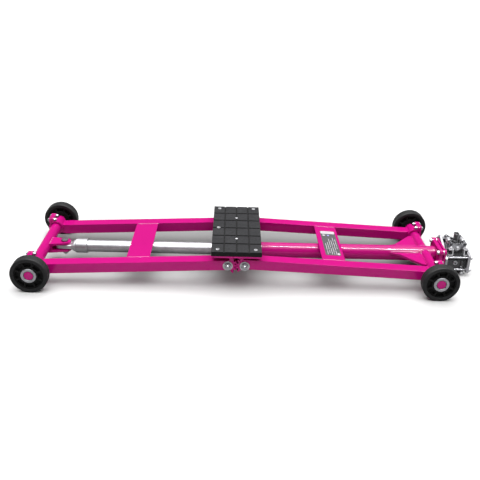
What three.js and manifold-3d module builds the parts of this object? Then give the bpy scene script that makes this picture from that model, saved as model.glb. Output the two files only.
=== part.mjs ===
// Low-profile hydraulic race-car jack: two hinged arm frames that meet at a geared saddle,
// opened by a lying ram that draws the two axles together. Millimetres, +Z up.
// +X runs from the free axle towards the pump, the ground is z = 0.
import * as THREE from 'three'
import * as BufferGeometryUtils from 'three/addons/utils/BufferGeometryUtils.js'
import Module from 'manifold-3d'

const wasm = await Module()
wasm.setup()

// ---- driving dimensions -------------------------------------------------------------------
const GAP = 0.3 // clearance between pieces that touch

const WHEEL_R = 50
const WHEEL_WIDTH = 28
const TRACK = 392 // over the outer faces of the wheels
const AXLE_X = 545 // half the wheelbase
const AXLE_Z = WHEEL_R
const AXLE_R = 15
const STUB_R = 12.5 // the axle's end, inside the wheel
const STUB_START_Y = 160
const AXLE_END_Y = TRACK / 2 - 1.5

const RAIL_OUTER_Y = 144.5
const RAIL_WIDTH = 34.4
const RAIL_HEIGHT = 28
const RAIL_WALL = 3
const RAIL_TOP_Z = { left: 82.7, right: 86.3 } // top line of each arm's tube at the middle of the jack
const RAIL_SLOPE = 0.046 // drop of the top line per millimetre towards the axle
const RAIL_START_X = 18
const RAIL_SOLID_X = 45 // the rail is filled from its start to here
const RAIL_END_X = 521
const CROSS_PLATE_WIDTH = 64
const CROSS_PLATE_THICKNESS = 2.5
const CROSS_PLATE_DROP = 0.8 // below the top of the rails
const CROSS_PLATE_X = 268 // from the middle of the jack to the plate's centre line

const PIVOT_X = 22.75 // also the pitch radius of the two gear sectors
const PIVOT_Z = 67
const PIVOT_BOLT_R = 6
const GEAR_TEETH = 13 // on the full circle
const GEAR_MODULE = (2 * PIVOT_X) / GEAR_TEETH

const HOUSING_INNER_Y = 106
const HOUSING_OUTER_Y = 150
const HOUSING_R = 21.4
const SPLIT_OFFSET = 12 // from the axle's centre out to the joint of housing and cap
const EAR_THICKNESS = 6.2
const EAR_BOLT_RISE = 24 // from the axle's centre to the ear bolts
const EAR_BOLT_SPACING = 28
const EAR_R = 8

const SADDLE_LENGTH = 309 // across the jack
const SADDLE_WIDTH = 135
const SADDLE_Z = 94.6
const SADDLE_THICKNESS = 5.1
const PAD_TOP_Z = 114.2
const PAD_COLUMNS = 4
const PAD_ROWS = 6
const ROW_GROOVE = { width: 4, depth: 5 }
const COLUMN_GROOVE = { width: 3.4, depth: 3 }
const CHEEK_INNER_Y = 101.5
const CHEEK_OUTER_Y = 109.5

const RAM_Z = 46
const CYLINDER_R = 21.5
const CYLINDER_BORE_R = 17.9
const CYLINDER_START_X = -40
const ROD_R = 17.3
const COLLAR_R = 20.8
const COLLAR_START_X = -461.3
const COLLAR_END_X = -426.5
const ROD_END_X = 30
const EYE_END_X = -516
const EYE_HALF_THICKNESS = 6.5
const EYE_SHANK_R = 16 // where the flat eye runs into the collar
const CLEVIS_PIN_X = -493
const CLEVIS_PIN_R = 6

const FLANGE_X = 583 // left face of the ram cylinder's flange
const FLANGE_THICKNESS = 7
const FLANGE_R = 9 // of the lobe round each flange bolt
const PUMP_PLATE_X = FLANGE_X + 2 * FLANGE_THICKNESS + 2 * GAP
const PUMP_PLATE_THICKNESS = 6.5
const PUMP_BODY_LENGTH = 56
const PUMP_BODY_HALF_Y = 38
const PUMP_BODY_LOW_Z = 14
const PUMP_BODY_HIGH_Z = 62
const END_PLATE_THICKNESS = 7.5
const TIE_ROD_R = 3
const TIE_ROD_Y = 42
const TIE_ROD_HEIGHTS = [17, 55]
const TIE_ROD_END = 8 // rod standing out past the end plate
const ROCKER_Z = 78
const ROCKER_REACH = 19.8 // from the rocker's pivot to each roller pin, along X
const ROCKER_RISE = 12 // and along Z
const ROCKER_TIP_R = 5.6
const ROCKER_PIN_R = 4
const VALVE_TOP_Z = 72

const PUMP_BODY_X = PUMP_PLATE_X + PUMP_PLATE_THICKNESS + GAP
const END_PLATE_X = PUMP_BODY_X + PUMP_BODY_LENGTH + GAP
const PUMP_END_X = END_PLATE_X + END_PLATE_THICKNESS + TIE_ROD_END
const PUMP_CENTRE_X = PUMP_BODY_X + PUMP_BODY_LENGTH / 2
const RELEASE_X = PUMP_CENTRE_X + 17.6
const RELEASE_Z = 7.2
const PORT_X = PUMP_CENTRE_X - 3
const PORT_Z = 37
const PORT_R = 5
const PORT_HOLE_R = 2.6
const PORT_HEIGHT = 4 // out of the near face of the pump body
const RIB_COUNT = 3
const RIB_PITCH = 5.5
const RIB_DEPTH = 2
const RIB_HEIGHT = 2.2
const BOSS_HALF_X = 6.5 // of the foot that carries the release screw
const BOSS_LENGTH = 20
const RELEASE_SHAFT_R = 2.6
const RELEASE_ACROSS_FLATS = 8
const RELEASE_SHAFT_LENGTH = 5
const RELEASE_LENGTH = 10.5 // to the outer face of the hexagon
const BARREL_R = 5.5 // upright barrel on the near face of the pump body
const RIB_START_Z = 46

// ---- materials ----------------------------------------------------------------------------
const finish = (color, roughness, metalness) =>
  new THREE.MeshStandardMaterial({ color, roughness, metalness })
const PAINT = finish(0xe02090, 0.35, 0.0)
const STEEL = finish(0xc9c9cc, 0.3, 1.0)
const POLISHED = finish(0xd8d8da, 0.15, 1.0)
const ALUMINIUM = finish(0xb4b4b6, 0.35, 1.0)
const RUBBER = finish(0x3a3a3c, 0.85, 0.0)
const TREAD = finish(0x38383a, 0.8, 0.0)
const CORE = finish(0x111113, 0.5, 0.0)
const BLACK_PAINT = finish(0x1c1c1e, 0.5, 0.2)

// ---- geometry helpers ---------------------------------------------------------------------
/** A three.js geometry as a manifold solid. */
function solidOf(geometry) {
  const bare = geometry.clone()
  bare.deleteAttribute('normal')
  bare.deleteAttribute('uv')
  const merged = BufferGeometryUtils.mergeVertices(bare, 1e-4)
  return new wasm.Manifold(new wasm.Mesh({
    numProp: 3,
    vertProperties: new Float32Array(merged.attributes.position.array),
    triVerts: new Uint32Array(merged.index.array),
  }))
}

/** A manifold solid back as a three.js geometry. */
function geometryOf(solid) {
  const { vertProperties, triVerts } = solid.getMesh()
  const geometry = new THREE.BufferGeometry()
  geometry.setAttribute('position', new THREE.BufferAttribute(vertProperties, 3))
  geometry.setIndex(new THREE.BufferAttribute(triVerts, 1))
  const flat = geometry.toNonIndexed()
  flat.computeVertexNormals()
  return flat
}

/** Join geometries into one body. */
function join(...geometries) {
  return geometryOf(geometries.map(solidOf).reduce((sum, next) => sum.add(next)))
}

/** Take geometries away from a body. */
function cut(geometry, ...tools) {
  return geometryOf(tools.map(solidOf).reduce((rest, tool) => rest.subtract(tool), solidOf(geometry)))
}

const boxBetween = (low, high) =>
  new THREE.BoxGeometry(high[0] - low[0], high[1] - low[1], high[2] - low[2])
    .translate((low[0] + high[0]) / 2, (low[1] + high[1]) / 2, (low[2] + high[2]) / 2)

const extrude = (shape, depth, curveSegments = 12) =>
  new THREE.ExtrudeGeometry(shape, { depth, bevelEnabled: false, curveSegments })

/** Extrude an outline drawn in (X, Z) from yLow to yHigh. */
function extrudeAlongY(shape, yLow, yHigh, curveSegments) {
  return extrude(shape, yHigh - yLow, curveSegments).rotateX(Math.PI / 2).translate(0, yHigh, 0)
}

/** Extrude an outline drawn in (Y, Z) from xLow to xHigh. */
function extrudeAlongX(shape, xLow, xHigh, curveSegments) {
  const turn = new THREE.Matrix4().makeBasis(
    new THREE.Vector3(0, 1, 0), new THREE.Vector3(0, 0, 1), new THREE.Vector3(1, 0, 0))
  return extrude(shape, xHigh - xLow, curveSegments).applyMatrix4(turn).translate(xLow, 0, 0)
}

/** Extrude an outline drawn in (X, Y) from zLow to zHigh. */
function extrudeAlongZ(shape, zLow, zHigh, curveSegments) {
  return extrude(shape, zHigh - zLow, curveSegments).translate(0, 0, zLow)
}

const outline = (points) => new THREE.Shape(points.map(([a, b]) => new THREE.Vector2(a, b)))

function rectangle(aLow, aHigh, bLow, bHigh) {
  return outline([[aLow, bLow], [aHigh, bLow], [aHigh, bHigh], [aLow, bHigh]])
}

function disc(a, b, radius, holeRadius = 0) {
  const shape = new THREE.Shape().absarc(a, b, radius, 0, 2 * Math.PI)
  if (holeRadius > 0) {
    shape.holes.push(new THREE.Path().absarc(a, b, holeRadius, 0, 2 * Math.PI, true))
  }
  return shape
}

function hexagon(a, b, acrossFlats) {
  const corner = acrossFlats / Math.sqrt(3)
  const points = []
  for (let side = 0; side < 6; side += 1) {
    const angle = (side * Math.PI) / 3
    points.push([a + corner * Math.cos(angle), b + corner * Math.sin(angle)])
  }
  return outline(points)
}

/** Points of an arc from one angle to another, in degrees. */
function arcPoints(a, b, radius, from, to, steps) {
  const points = []
  for (let step = 0; step <= steps; step += 1) {
    const angle = THREE.MathUtils.degToRad(from + ((to - from) * step) / steps)
    points.push([a + radius * Math.cos(angle), b + radius * Math.sin(angle)])
  }
  return points
}

const mirrorY = (far, low, high) => (far ? [low, high] : [-high, -low])

function named(name, geometry, material) {
  const mesh = new THREE.Mesh(geometry, material)
  mesh.name = name
  return mesh
}

function group(...children) {
  const parent = new THREE.Group()
  parent.add(...children)
  return parent
}

// ---- wheels -------------------------------------------------------------------------------
const TYRE_INNER_R = 40
const HUB_BORE_R = STUB_R + 0.4
const HUB_POCKETS = 8
const POCKET_DEPTH = 7

/** Solid rubber tyre with rounded shoulders, axis along Y. */
function tyreGeometry() {
  const half = WHEEL_WIDTH / 2
  const shoulder = 2
  const profile = [
    [TYRE_INNER_R, -half],
    [WHEEL_R - shoulder, -half],
    [WHEEL_R, -half + shoulder],
    [WHEEL_R, half - shoulder],
    [WHEEL_R - shoulder, half],
    [TYRE_INNER_R, half],
    [TYRE_INNER_R, -half],
  ]
  return new THREE.LatheGeometry(profile.map(([r, y]) => new THREE.Vector2(r, y)), 48)
}

/** Moulded wheel core with a ring of pockets in each face, axis along Y. */
function hubGeometry() {
  const half = WHEEL_WIDTH / 2 - 0.8
  const core = extrudeAlongY(disc(0, 0, TYRE_INNER_R - GAP, HUB_BORE_R), -half, half, 20)
  const pockets = []
  for (let index = 0; index < HUB_POCKETS; index += 1) {
    const middle = (index * 360) / HUB_POCKETS
    const sector = outline([
      ...arcPoints(0, 0, 35.5, middle - 17, middle + 17, 3),
      ...arcPoints(0, 0, 24.5, middle + 14, middle - 14, 2),
    ])
    pockets.push(extrudeAlongY(sector, half - POCKET_DEPTH, half + 1))
    pockets.push(extrudeAlongY(sector, -half - 1, POCKET_DEPTH - half))
  }
  return cut(core, ...pockets)
}

const TYRE = tyreGeometry()
const HUB = hubGeometry()

function wheel(end, side) {
  const turning = group(named(`tyre_${end}_${side}`, TYRE, TREAD), named(`hub_${end}_${side}`, HUB, CORE))
  const sideY = (TRACK - WHEEL_WIDTH) / 2
  turning.position.set(end === 'left' ? -AXLE_X : AXLE_X, side === 'near' ? -sideY : sideY, AXLE_Z)
  return turning
}

// ---- arms ---------------------------------------------------------------------------------
// Both arms are drawn by their distance d from the middle of the jack; towards is -1 for the
// left arm and +1 for the right arm, so that x = towards * d.
const railTop = (towards, d) => (towards < 0 ? RAIL_TOP_Z.left : RAIL_TOP_Z.right) - RAIL_SLOPE * d

function railOutline(towards, dLow, dHigh, inset) {
  return outline([
    [towards * dLow, railTop(towards, dLow) - RAIL_HEIGHT + inset],
    [towards * dHigh, railTop(towards, dHigh) - RAIL_HEIGHT + inset],
    [towards * dHigh, railTop(towards, dHigh) - inset],
    [towards * dLow, railTop(towards, dLow) - inset],
  ])
}

/** Gear sector round an arm's pivot. Angles are from the direction of the other pivot, up positive. */
function gearSector(towards) {
  const addendum = 0.8 * GEAR_MODULE
  const dedendum = 1.1 * GEAR_MODULE
  const tipR = PIVOT_X + addendum
  const rootR = PIVOT_X - dedendum
  const pitch = 360 / GEAR_TEETH
  const firstTooth = towards < 0 ? -2 * pitch : -1.5 * pitch
  const halfRoot = 7.6
  const halfTip = 3.9
  const boundary = []
  for (let angle = firstTooth; angle < 1.6 * pitch; angle += pitch) {
    boundary.push([rootR, angle - halfRoot], [tipR, angle - halfTip], [tipR, angle + halfTip],
      [rootR, angle + halfRoot])
  }
  for (let angle = 52; angle <= 80; angle += 7) {
    boundary.push([tipR, angle])
  }
  const points = [[towards * PIVOT_X, PIVOT_Z]]
  for (const [radius, degrees] of boundary) {
    const angle = THREE.MathUtils.degToRad(degrees)
    points.push([towards * (PIVOT_X - radius * Math.cos(angle)), PIVOT_Z + radius * Math.sin(angle)])
  }
  return outline(points)
}

/** Rectangular tube with its gear head, open at the axle end. */
function railGeometry(towards, far) {
  const [yLow, yHigh] = mirrorY(far, RAIL_OUTER_Y - RAIL_WIDTH, RAIL_OUTER_Y)
  const tube = cut(
    extrudeAlongY(railOutline(towards, RAIL_START_X, RAIL_END_X, 0), yLow, yHigh),
    extrudeAlongY(railOutline(towards, RAIL_SOLID_X, RAIL_END_X + 1, RAIL_WALL),
      yLow + RAIL_WALL, yHigh - RAIL_WALL))
  const head = join(
    extrudeAlongY(gearSector(towards), yLow, yHigh),
    extrudeAlongY(disc(towards * PIVOT_X, PIVOT_Z, 14), yLow, yHigh))
  const bolt = extrudeAlongY(disc(towards * PIVOT_X, PIVOT_Z, PIVOT_BOLT_R + 0.4), yLow - 1, yHigh + 1)
  return cut(join(tube, head), bolt)
}

/** Plate pair of ears with two bolt lobes each, drawn in (Y, Z), above or below the axle. */
function earOutline(far, up) {
  const middle = (HOUSING_INNER_Y + HOUSING_OUTER_Y) / 2
  const [yLow, yHigh] = mirrorY(far, middle - EAR_BOLT_SPACING / 2, middle + EAR_BOLT_SPACING / 2)
  const z = AXLE_Z + up * EAR_BOLT_RISE
  const root = AXLE_Z + up * (HOUSING_R - 4)
  return outline([
    [yHigh + EAR_R, root],
    ...arcPoints(yHigh, z, EAR_R, 0, up * 130, 6),
    ...arcPoints(yLow, z, EAR_R, up * 50, up * 180, 6),
    [yLow - EAR_R, root],
  ])
}

/** Where the ear bolts run, as Y places. */
function earBoltPlaces(far) {
  const middle = ((HOUSING_INNER_Y + HOUSING_OUTER_Y) / 2) * (far ? 1 : -1)
  return [middle - EAR_BOLT_SPACING / 2, middle + EAR_BOLT_SPACING / 2]
}

function ears(towards, far, dLow, dHigh) {
  const [xLow, xHigh] = towards < 0 ? [-dHigh, -dLow] : [dLow, dHigh]
  return [1, -1].map((up) => extrudeAlongX(earOutline(far, up), xLow, xHigh))
}

function earBores(towards, far) {
  const bores = []
  const dLow = AXLE_X + SPLIT_OFFSET - 15
  const dHigh = AXLE_X + SPLIT_OFFSET + 15
  const [xLow, xHigh] = towards < 0 ? [-dHigh, -dLow] : [dLow, dHigh]
  for (const y of earBoltPlaces(far)) {
    for (const up of [1, -1]) {
      bores.push(extrudeAlongX(disc(y, AXLE_Z + up * EAR_BOLT_RISE, 3.3), xLow, xHigh, 4))
    }
  }
  return bores
}

/** Arm-side half of the axle bearing: a fork open away from the rail. */
function housingGeometry(towards, far) {
  const [yLow, yHigh] = mirrorY(far, HOUSING_INNER_Y, HOUSING_OUTER_Y)
  const split = AXLE_X + SPLIT_OFFSET - GAP
  const x = (d) => towards * d
  const block = outline([
    [x(RAIL_END_X + GAP), railTop(towards, RAIL_END_X) - RAIL_HEIGHT + 0.5],
    [x(AXLE_X), AXLE_Z - HOUSING_R + 6],
    [x(AXLE_X), AXLE_Z + HOUSING_R - 6],
    [x(RAIL_END_X + GAP), railTop(towards, RAIL_END_X) - 0.5],
  ])
  const fork = rectangle(...(towards < 0 ? [-split, -AXLE_X] : [AXLE_X, split]),
    AXLE_Z - HOUSING_R, AXLE_Z + HOUSING_R)
  const body = join(
    extrudeAlongY(block, yLow + 5.5, yHigh - 5.5),
    extrudeAlongY(disc(x(AXLE_X), AXLE_Z, HOUSING_R), yLow, yHigh, 12),
    extrudeAlongY(fork, yLow, yHigh),
    ...ears(towards, far, split - EAR_THICKNESS, split))
  const slot = rectangle(...(towards < 0 ? [-AXLE_X - 40, -AXLE_X] : [AXLE_X, AXLE_X + 40]),
    AXLE_Z - AXLE_R - 0.4, AXLE_Z + AXLE_R + 0.4)
  const outer = boxBetween(
    [towards < 0 ? -split - 40 : split, yLow - 1, AXLE_Z - 50],
    [towards < 0 ? -split : split + 40, yHigh + 1, AXLE_Z + 50])
  return cut(body,
    extrudeAlongY(disc(x(AXLE_X), AXLE_Z, AXLE_R + 0.4), yLow - 1, yHigh + 1, 12),
    extrudeAlongY(slot, yLow - 1, yHigh + 1),
    outer,
    ...earBores(towards, far))
}

/** Bolted cap that closes the bearing on the outside. */
function capGeometry(towards, far) {
  const [yLow, yHigh] = mirrorY(far, HOUSING_INNER_Y, HOUSING_OUTER_Y)
  const split = AXLE_X + SPLIT_OFFSET + GAP
  const plate = rectangle(...(towards < 0 ? [-split - 5, -split] : [split, split + 5]),
    AXLE_Z - HOUSING_R, AXLE_Z + HOUSING_R)
  const body = join(
    extrudeAlongY(disc(towards * AXLE_X, AXLE_Z, HOUSING_R), yLow, yHigh, 12),
    extrudeAlongY(plate, yLow, yHigh),
    ...ears(towards, far, split, split + EAR_THICKNESS))
  const inner = boxBetween(
    [towards < 0 ? -split : split - 60, yLow - 1, AXLE_Z - 50],
    [towards < 0 ? -split + 60 : split, yHigh + 1, AXLE_Z + 50])
  return cut(body,
    extrudeAlongY(disc(towards * AXLE_X, AXLE_Z, AXLE_R + 0.4), yLow - 1, yHigh + 1, 12),
    inner,
    ...earBores(towards, far))
}

function crossPlateGeometry(towards) {
  const dLow = CROSS_PLATE_X - CROSS_PLATE_WIDTH / 2
  const dHigh = CROSS_PLATE_X + CROSS_PLATE_WIDTH / 2
  const reach = RAIL_OUTER_Y - RAIL_WIDTH - GAP
  const top = (d) => railTop(towards, d) - CROSS_PLATE_DROP
  const sheet = outline([
    [towards * dLow, top(dLow) - CROSS_PLATE_THICKNESS],
    [towards * dHigh, top(dHigh) - CROSS_PLATE_THICKNESS],
    [towards * dHigh, top(dHigh)],
    [towards * dLow, top(dLow)],
  ])
  return extrudeAlongY(sheet, -reach, reach)
}

function arm(end) {
  const towards = end === 'left' ? -1 : 1
  const frame = group(named(`cross_plate_${end}`, crossPlateGeometry(towards), PAINT))
  for (const side of ['near', 'far']) {
    const far = side === 'far'
    frame.add(
      named(`rail_${end}_${side}`, railGeometry(towards, far), PAINT),
      named(`bearing_housing_${end}_${side}`, housingGeometry(towards, far), PAINT),
      named(`bearing_cap_${end}_${side}`, capGeometry(towards, far), PAINT))
  }
  return frame
}

// ---- saddle -------------------------------------------------------------------------------
/** Rubber top with grooves that part it into blocks. */
function padGeometry() {
  const low = SADDLE_Z + SADDLE_THICKNESS + GAP
  const halfX = SADDLE_WIDTH / 2
  const halfY = SADDLE_LENGTH / 2
  const grooves = []
  for (let row = 1; row < PAD_ROWS; row += 1) {
    const y = -halfY + (row * SADDLE_LENGTH) / PAD_ROWS
    grooves.push(boxBetween(
      [-halfX - 1, y - ROW_GROOVE.width / 2, PAD_TOP_Z - ROW_GROOVE.depth],
      [halfX + 1, y + ROW_GROOVE.width / 2, PAD_TOP_Z + 1]))
  }
  for (let column = 1; column < PAD_COLUMNS; column += 1) {
    const x = -halfX + (column * SADDLE_WIDTH) / PAD_COLUMNS
    grooves.push(boxBetween(
      [x - COLUMN_GROOVE.width / 2, -halfY - 1, PAD_TOP_Z - COLUMN_GROOVE.depth],
      [x + COLUMN_GROOVE.width / 2, halfY + 1, PAD_TOP_Z + 1]))
  }
  return cut(boxBetween([-halfX, -halfY, low], [halfX, halfY, PAD_TOP_Z]), ...grooves)
}

/** Hanging plate that carries one pivot bolt of each arm. */
function cheekGeometry(far) {
  const [yLow, yHigh] = mirrorY(far, CHEEK_INNER_Y, CHEEK_OUTER_Y)
  const shape = outline([
    [-38, SADDLE_Z - GAP],
    ...arcPoints(-PIVOT_X, PIVOT_Z, 13, 180, 270, 6),
    ...arcPoints(PIVOT_X, PIVOT_Z, 13, 270, 360, 6),
    [38, SADDLE_Z - GAP],
  ])
  for (const x of [-PIVOT_X, PIVOT_X]) {
    shape.holes.push(new THREE.Path().absarc(x, PIVOT_Z, PIVOT_BOLT_R + GAP, 0, 2 * Math.PI, true))
  }
  return extrudeAlongY(shape, yLow, yHigh)
}

/** Pivot bolt with its head inside the cheek and its thread standing out past the rail. */
function pivotBoltGeometry(far) {
  const head = mirrorY(far, CHEEK_INNER_Y - 7.5, CHEEK_INNER_Y - GAP)
  const shank = mirrorY(far, CHEEK_INNER_Y - 2, RAIL_OUTER_Y + 13)
  return join(
    extrudeAlongY(hexagon(0, 0, 19), ...head),
    extrudeAlongY(disc(0, 0, PIVOT_BOLT_R), ...shank, 12))
}

function saddle() {
  const carriage = group(
    named('saddle_plate', boxBetween(
      [-SADDLE_WIDTH / 2, -SADDLE_LENGTH / 2, SADDLE_Z],
      [SADDLE_WIDTH / 2, SADDLE_LENGTH / 2, SADDLE_Z + SADDLE_THICKNESS]), PAINT),
    named('rubber_pad', padGeometry(), RUBBER))
  for (const side of ['near', 'far']) {
    carriage.add(named(`saddle_cheek_${side}`, cheekGeometry(side === 'far'), PAINT))
    for (const end of ['left', 'right']) {
      const bolt = named(`pivot_bolt_${end}_${side}`, pivotBoltGeometry(side === 'far'), STEEL)
      bolt.position.set(end === 'left' ? -PIVOT_X : PIVOT_X, 0, PIVOT_Z)
      carriage.add(bolt)
    }
  }
  return carriage
}

// ---- ram and free axle --------------------------------------------------------------------
/** Straight axle with its turned-down wheel stubs, along Y about the origin. */
function axleProfile(yLow, yHigh) {
  const parts = [extrudeAlongY(disc(0, 0, AXLE_R), Math.max(yLow, -STUB_START_Y),
    Math.min(yHigh, STUB_START_Y), 14)]
  if (yHigh > STUB_START_Y) {
    parts.push(extrudeAlongY(disc(0, 0, STUB_R), STUB_START_Y - 5, yHigh, 14))
  }
  if (yLow < -STUB_START_Y) {
    parts.push(extrudeAlongY(disc(0, 0, STUB_R), yLow, -STUB_START_Y + 5, 14))
  }
  return parts
}

/** Two level ears joined to a saddle that sits on the axle. */
function clevisGeometry() {
  const earRoot = -AXLE_X + 8
  const ear = outline([
    [earRoot, -24],
    [-AXLE_X + 22, -22],
    ...arcPoints(CLEVIS_PIN_X, 0, 17, -62, 62, 10),
    [-AXLE_X + 22, 22],
    [earRoot, 24],
  ])
  const gapHalf = 8
  const thickness = 6
  const upper = extrudeAlongZ(ear, RAM_Z + gapHalf, RAM_Z + gapHalf + thickness)
  const lower = extrudeAlongZ(ear, RAM_Z - gapHalf - thickness, RAM_Z - gapHalf)
  const web = boxBetween([earRoot, -20, RAM_Z - gapHalf - 1], [-AXLE_X + 19, 20, RAM_Z + gapHalf + 1])
  const axle = extrudeAlongY(disc(-AXLE_X, AXLE_Z, AXLE_R + GAP), -60, 60, 14)
  const pin = extrudeAlongZ(disc(CLEVIS_PIN_X, 0, CLEVIS_PIN_R + GAP), RAM_Z - 40, RAM_Z + 40, 12)
  return cut(join(upper, lower, web), axle, pin)
}

/** Flat eye on the rod's end that the clevis pin passes through. */
function rodEyeGeometry() {
  const end = COLLAR_START_X - GAP
  const bar = outline([
    [end, -EYE_SHANK_R],
    [CLEVIS_PIN_X, -14],
    [EYE_END_X + 4, -13],
    [EYE_END_X, -9],
    [EYE_END_X, 9],
    [EYE_END_X + 4, 13],
    [CLEVIS_PIN_X, 14],
    [end, EYE_SHANK_R],
  ])
  const shank = extrudeAlongX(disc(0, RAM_Z, EYE_SHANK_R), end - 9, end, 14)
  const hole = extrudeAlongZ(disc(CLEVIS_PIN_X, 0, CLEVIS_PIN_R + GAP), RAM_Z - 20, RAM_Z + 20, 12)
  return cut(join(extrudeAlongZ(bar, RAM_Z - EYE_HALF_THICKNESS, RAM_Z + EYE_HALF_THICKNESS), shank), hole)
}

function clevisPinGeometry() {
  const top = RAM_Z + 14 + GAP
  return join(
    extrudeAlongZ(hexagon(CLEVIS_PIN_X, 0, 19), top, top + 5.5),
    extrudeAlongZ(disc(CLEVIS_PIN_X, 0, CLEVIS_PIN_R), RAM_Z - 25, top + 1, 12))
}

function freeAxle() {
  const bar = named('axle_left', join(...axleProfile(-AXLE_END_Y, AXLE_END_Y)), PAINT)
  const collar = extrudeAlongX(disc(0, RAM_Z, COLLAR_R), COLLAR_START_X, COLLAR_END_X - GAP, 14)
  bar.position.set(-AXLE_X, 0, AXLE_Z)
  return group(
    bar,
    named('clevis', clevisGeometry(), PAINT),
    named('clevis_pin', clevisPinGeometry(), STEEL),
    named('rod_eye', rodEyeGeometry(), STEEL),
    named('rod_collar', collar, STEEL),
    named('ram_rod', extrudeAlongX(disc(0, RAM_Z, ROD_R), COLLAR_END_X, ROD_END_X, 14), POLISHED))
}

// ---- chassis ------------------------------------------------------------------------------
const ramClearance = () =>
  extrudeAlongX(disc(0, RAM_Z, CYLINDER_R + GAP), CYLINDER_START_X, FLANGE_X + 5, 18)

/** Half axle from the ram cylinder's side out to the wheel. */
function halfAxleGeometry(far) {
  const parts = far ? axleProfile(2, AXLE_END_Y) : axleProfile(-AXLE_END_Y, -2)
  return cut(join(...parts).translate(AXLE_X, 0, AXLE_Z), ramClearance())
}

/** Flat brace between the cylinder's side and the axle. */
function gussetGeometry(far) {
  const s = far ? 1 : -1
  const brace = outline([
    [443, s * 18],
    [443, s * 24],
    [468, s * 33],
    [519, s * 89],
    [526, s * 93],
    [AXLE_X - 5, s * 93],
    [AXLE_X - 5, s * 18],
  ])
  return cut(extrudeAlongZ(brace, AXLE_Z + 1, AXLE_Z + 7),
    ramClearance(),
    extrudeAlongY(disc(AXLE_X, AXLE_Z, AXLE_R + GAP), -120, 120, 14))
}

const FLANGE_BOLTS = [[-40, 69], [40, 69], [-40, 23], [40, 23]]

/** Lobed flange drawn in (Y, Z), with its bolt holes. */
function flangeGeometry(xLow) {
  const middle = outline([
    [-46, 30], [-32, 14], [32, 14], [46, 30], [46, 62], [32, 75], [-32, 75], [-46, 62],
  ])
  const xHigh = xLow + FLANGE_THICKNESS
  const body = join(
    extrudeAlongX(middle, xLow, xHigh),
    ...FLANGE_BOLTS.map(([y, z]) => extrudeAlongX(disc(y, z, FLANGE_R), xLow, xHigh, 8)))
  return cut(body,
    ...FLANGE_BOLTS.map(([y, z]) => extrudeAlongX(disc(y, z, 3.5), xLow - 1, xHigh + 1, 5)))
}

/** Front plate, its top rising towards the far side. */
function pumpFrontPlateGeometry() {
  const shape = outline([
    [-47, 10], [50, 10], [50, 80], [45, 86], [38, 86], [8, 76], [-12, 67], [-36, 58], [-47, 52],
  ])
  return extrudeAlongX(shape, PUMP_PLATE_X, PUMP_PLATE_X + PUMP_PLATE_THICKNESS)
}

function pumpEndPlateGeometry() {
  const shape = outline([[-50, 10], [50, 10], [50, 64], [8, 69.5], [-8, 69.5], [-50, 64]])
  for (const y of [-TIE_ROD_Y, TIE_ROD_Y]) {
    for (const z of TIE_ROD_HEIGHTS) {
      shape.holes.push(new THREE.Path().absarc(y, z, TIE_ROD_R + GAP + 0.1, 0, 2 * Math.PI, true))
    }
  }
  return extrudeAlongX(shape, END_PLATE_X, END_PLATE_X + END_PLATE_THICKNESS, 8)
}

/** Tie rod with the nut outside the end plate, along X about the origin. */
function tieRodGeometry() {
  const nutX = END_PLATE_X + END_PLATE_THICKNESS + GAP
  return join(
    extrudeAlongX(disc(0, 0, TIE_ROD_R), PUMP_BODY_X, PUMP_END_X, 8),
    extrudeAlongX(hexagon(0, 0, 10), nutX, nutX + 5))
}

function pumpBodyGeometry() {
  const ribs = []
  for (let rib = 0; rib < RIB_COUNT; rib += 1) {
    const z = RIB_START_Z + rib * RIB_PITCH
    for (const y of [-PUMP_BODY_HALF_Y, PUMP_BODY_HALF_Y]) {
      ribs.push(boxBetween(
        [PUMP_BODY_X - 1, y - RIB_DEPTH, z],
        [PUMP_BODY_X + PUMP_BODY_LENGTH + 1, y + RIB_DEPTH, z + RIB_HEIGHT]))
    }
  }
  const block = boxBetween(
    [PUMP_BODY_X, -PUMP_BODY_HALF_Y, PUMP_BODY_LOW_Z],
    [PUMP_BODY_X + PUMP_BODY_LENGTH, PUMP_BODY_HALF_Y, PUMP_BODY_HIGH_Z])
  const barrel = extrudeAlongZ(disc(RELEASE_X - 1, -PUMP_BODY_HALF_Y + 1, BARREL_R),
    TIE_ROD_HEIGHTS[0] + TIE_ROD_R + 1, RIB_START_Z - 1, 12)
  const boss = boxBetween(
    [RELEASE_X - BOSS_HALF_X, -PUMP_BODY_HALF_Y, RELEASE_Z - 4],
    [RELEASE_X + BOSS_HALF_X, -PUMP_BODY_HALF_Y + BOSS_LENGTH, PUMP_BODY_LOW_Z + 2])
  return join(cut(block, ...ribs), barrel, boss)
}

/** Valve block with the two stands that carry the rocker's shaft. */
function valveBlockGeometry() {
  const low = PUMP_BODY_HIGH_Z + GAP
  const stand = outline([
    [PUMP_CENTRE_X - 9, VALVE_TOP_Z - 2],
    [PUMP_CENTRE_X + 9, VALVE_TOP_Z - 2],
    ...arcPoints(PUMP_CENTRE_X, ROCKER_Z, 7, 0, 180, 10),
  ])
  const body = join(
    boxBetween([PUMP_BODY_X + 1, -20, low], [PUMP_BODY_X + PUMP_BODY_LENGTH - 1, 20, VALVE_TOP_Z]),
    extrudeAlongY(stand, 13, 18),
    extrudeAlongY(stand, -18, -13))
  const plungerBores = [-1, 1].map((way) =>
    extrudeAlongZ(disc(PUMP_CENTRE_X + way * ROCKER_REACH, 0, 4.5), low - 1, VALVE_TOP_Z + 1, 12))
  return cut(body,
    extrudeAlongY(disc(PUMP_CENTRE_X, ROCKER_Z, 4.4), -25, 25, 16),
    ...plungerBores)
}

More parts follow.
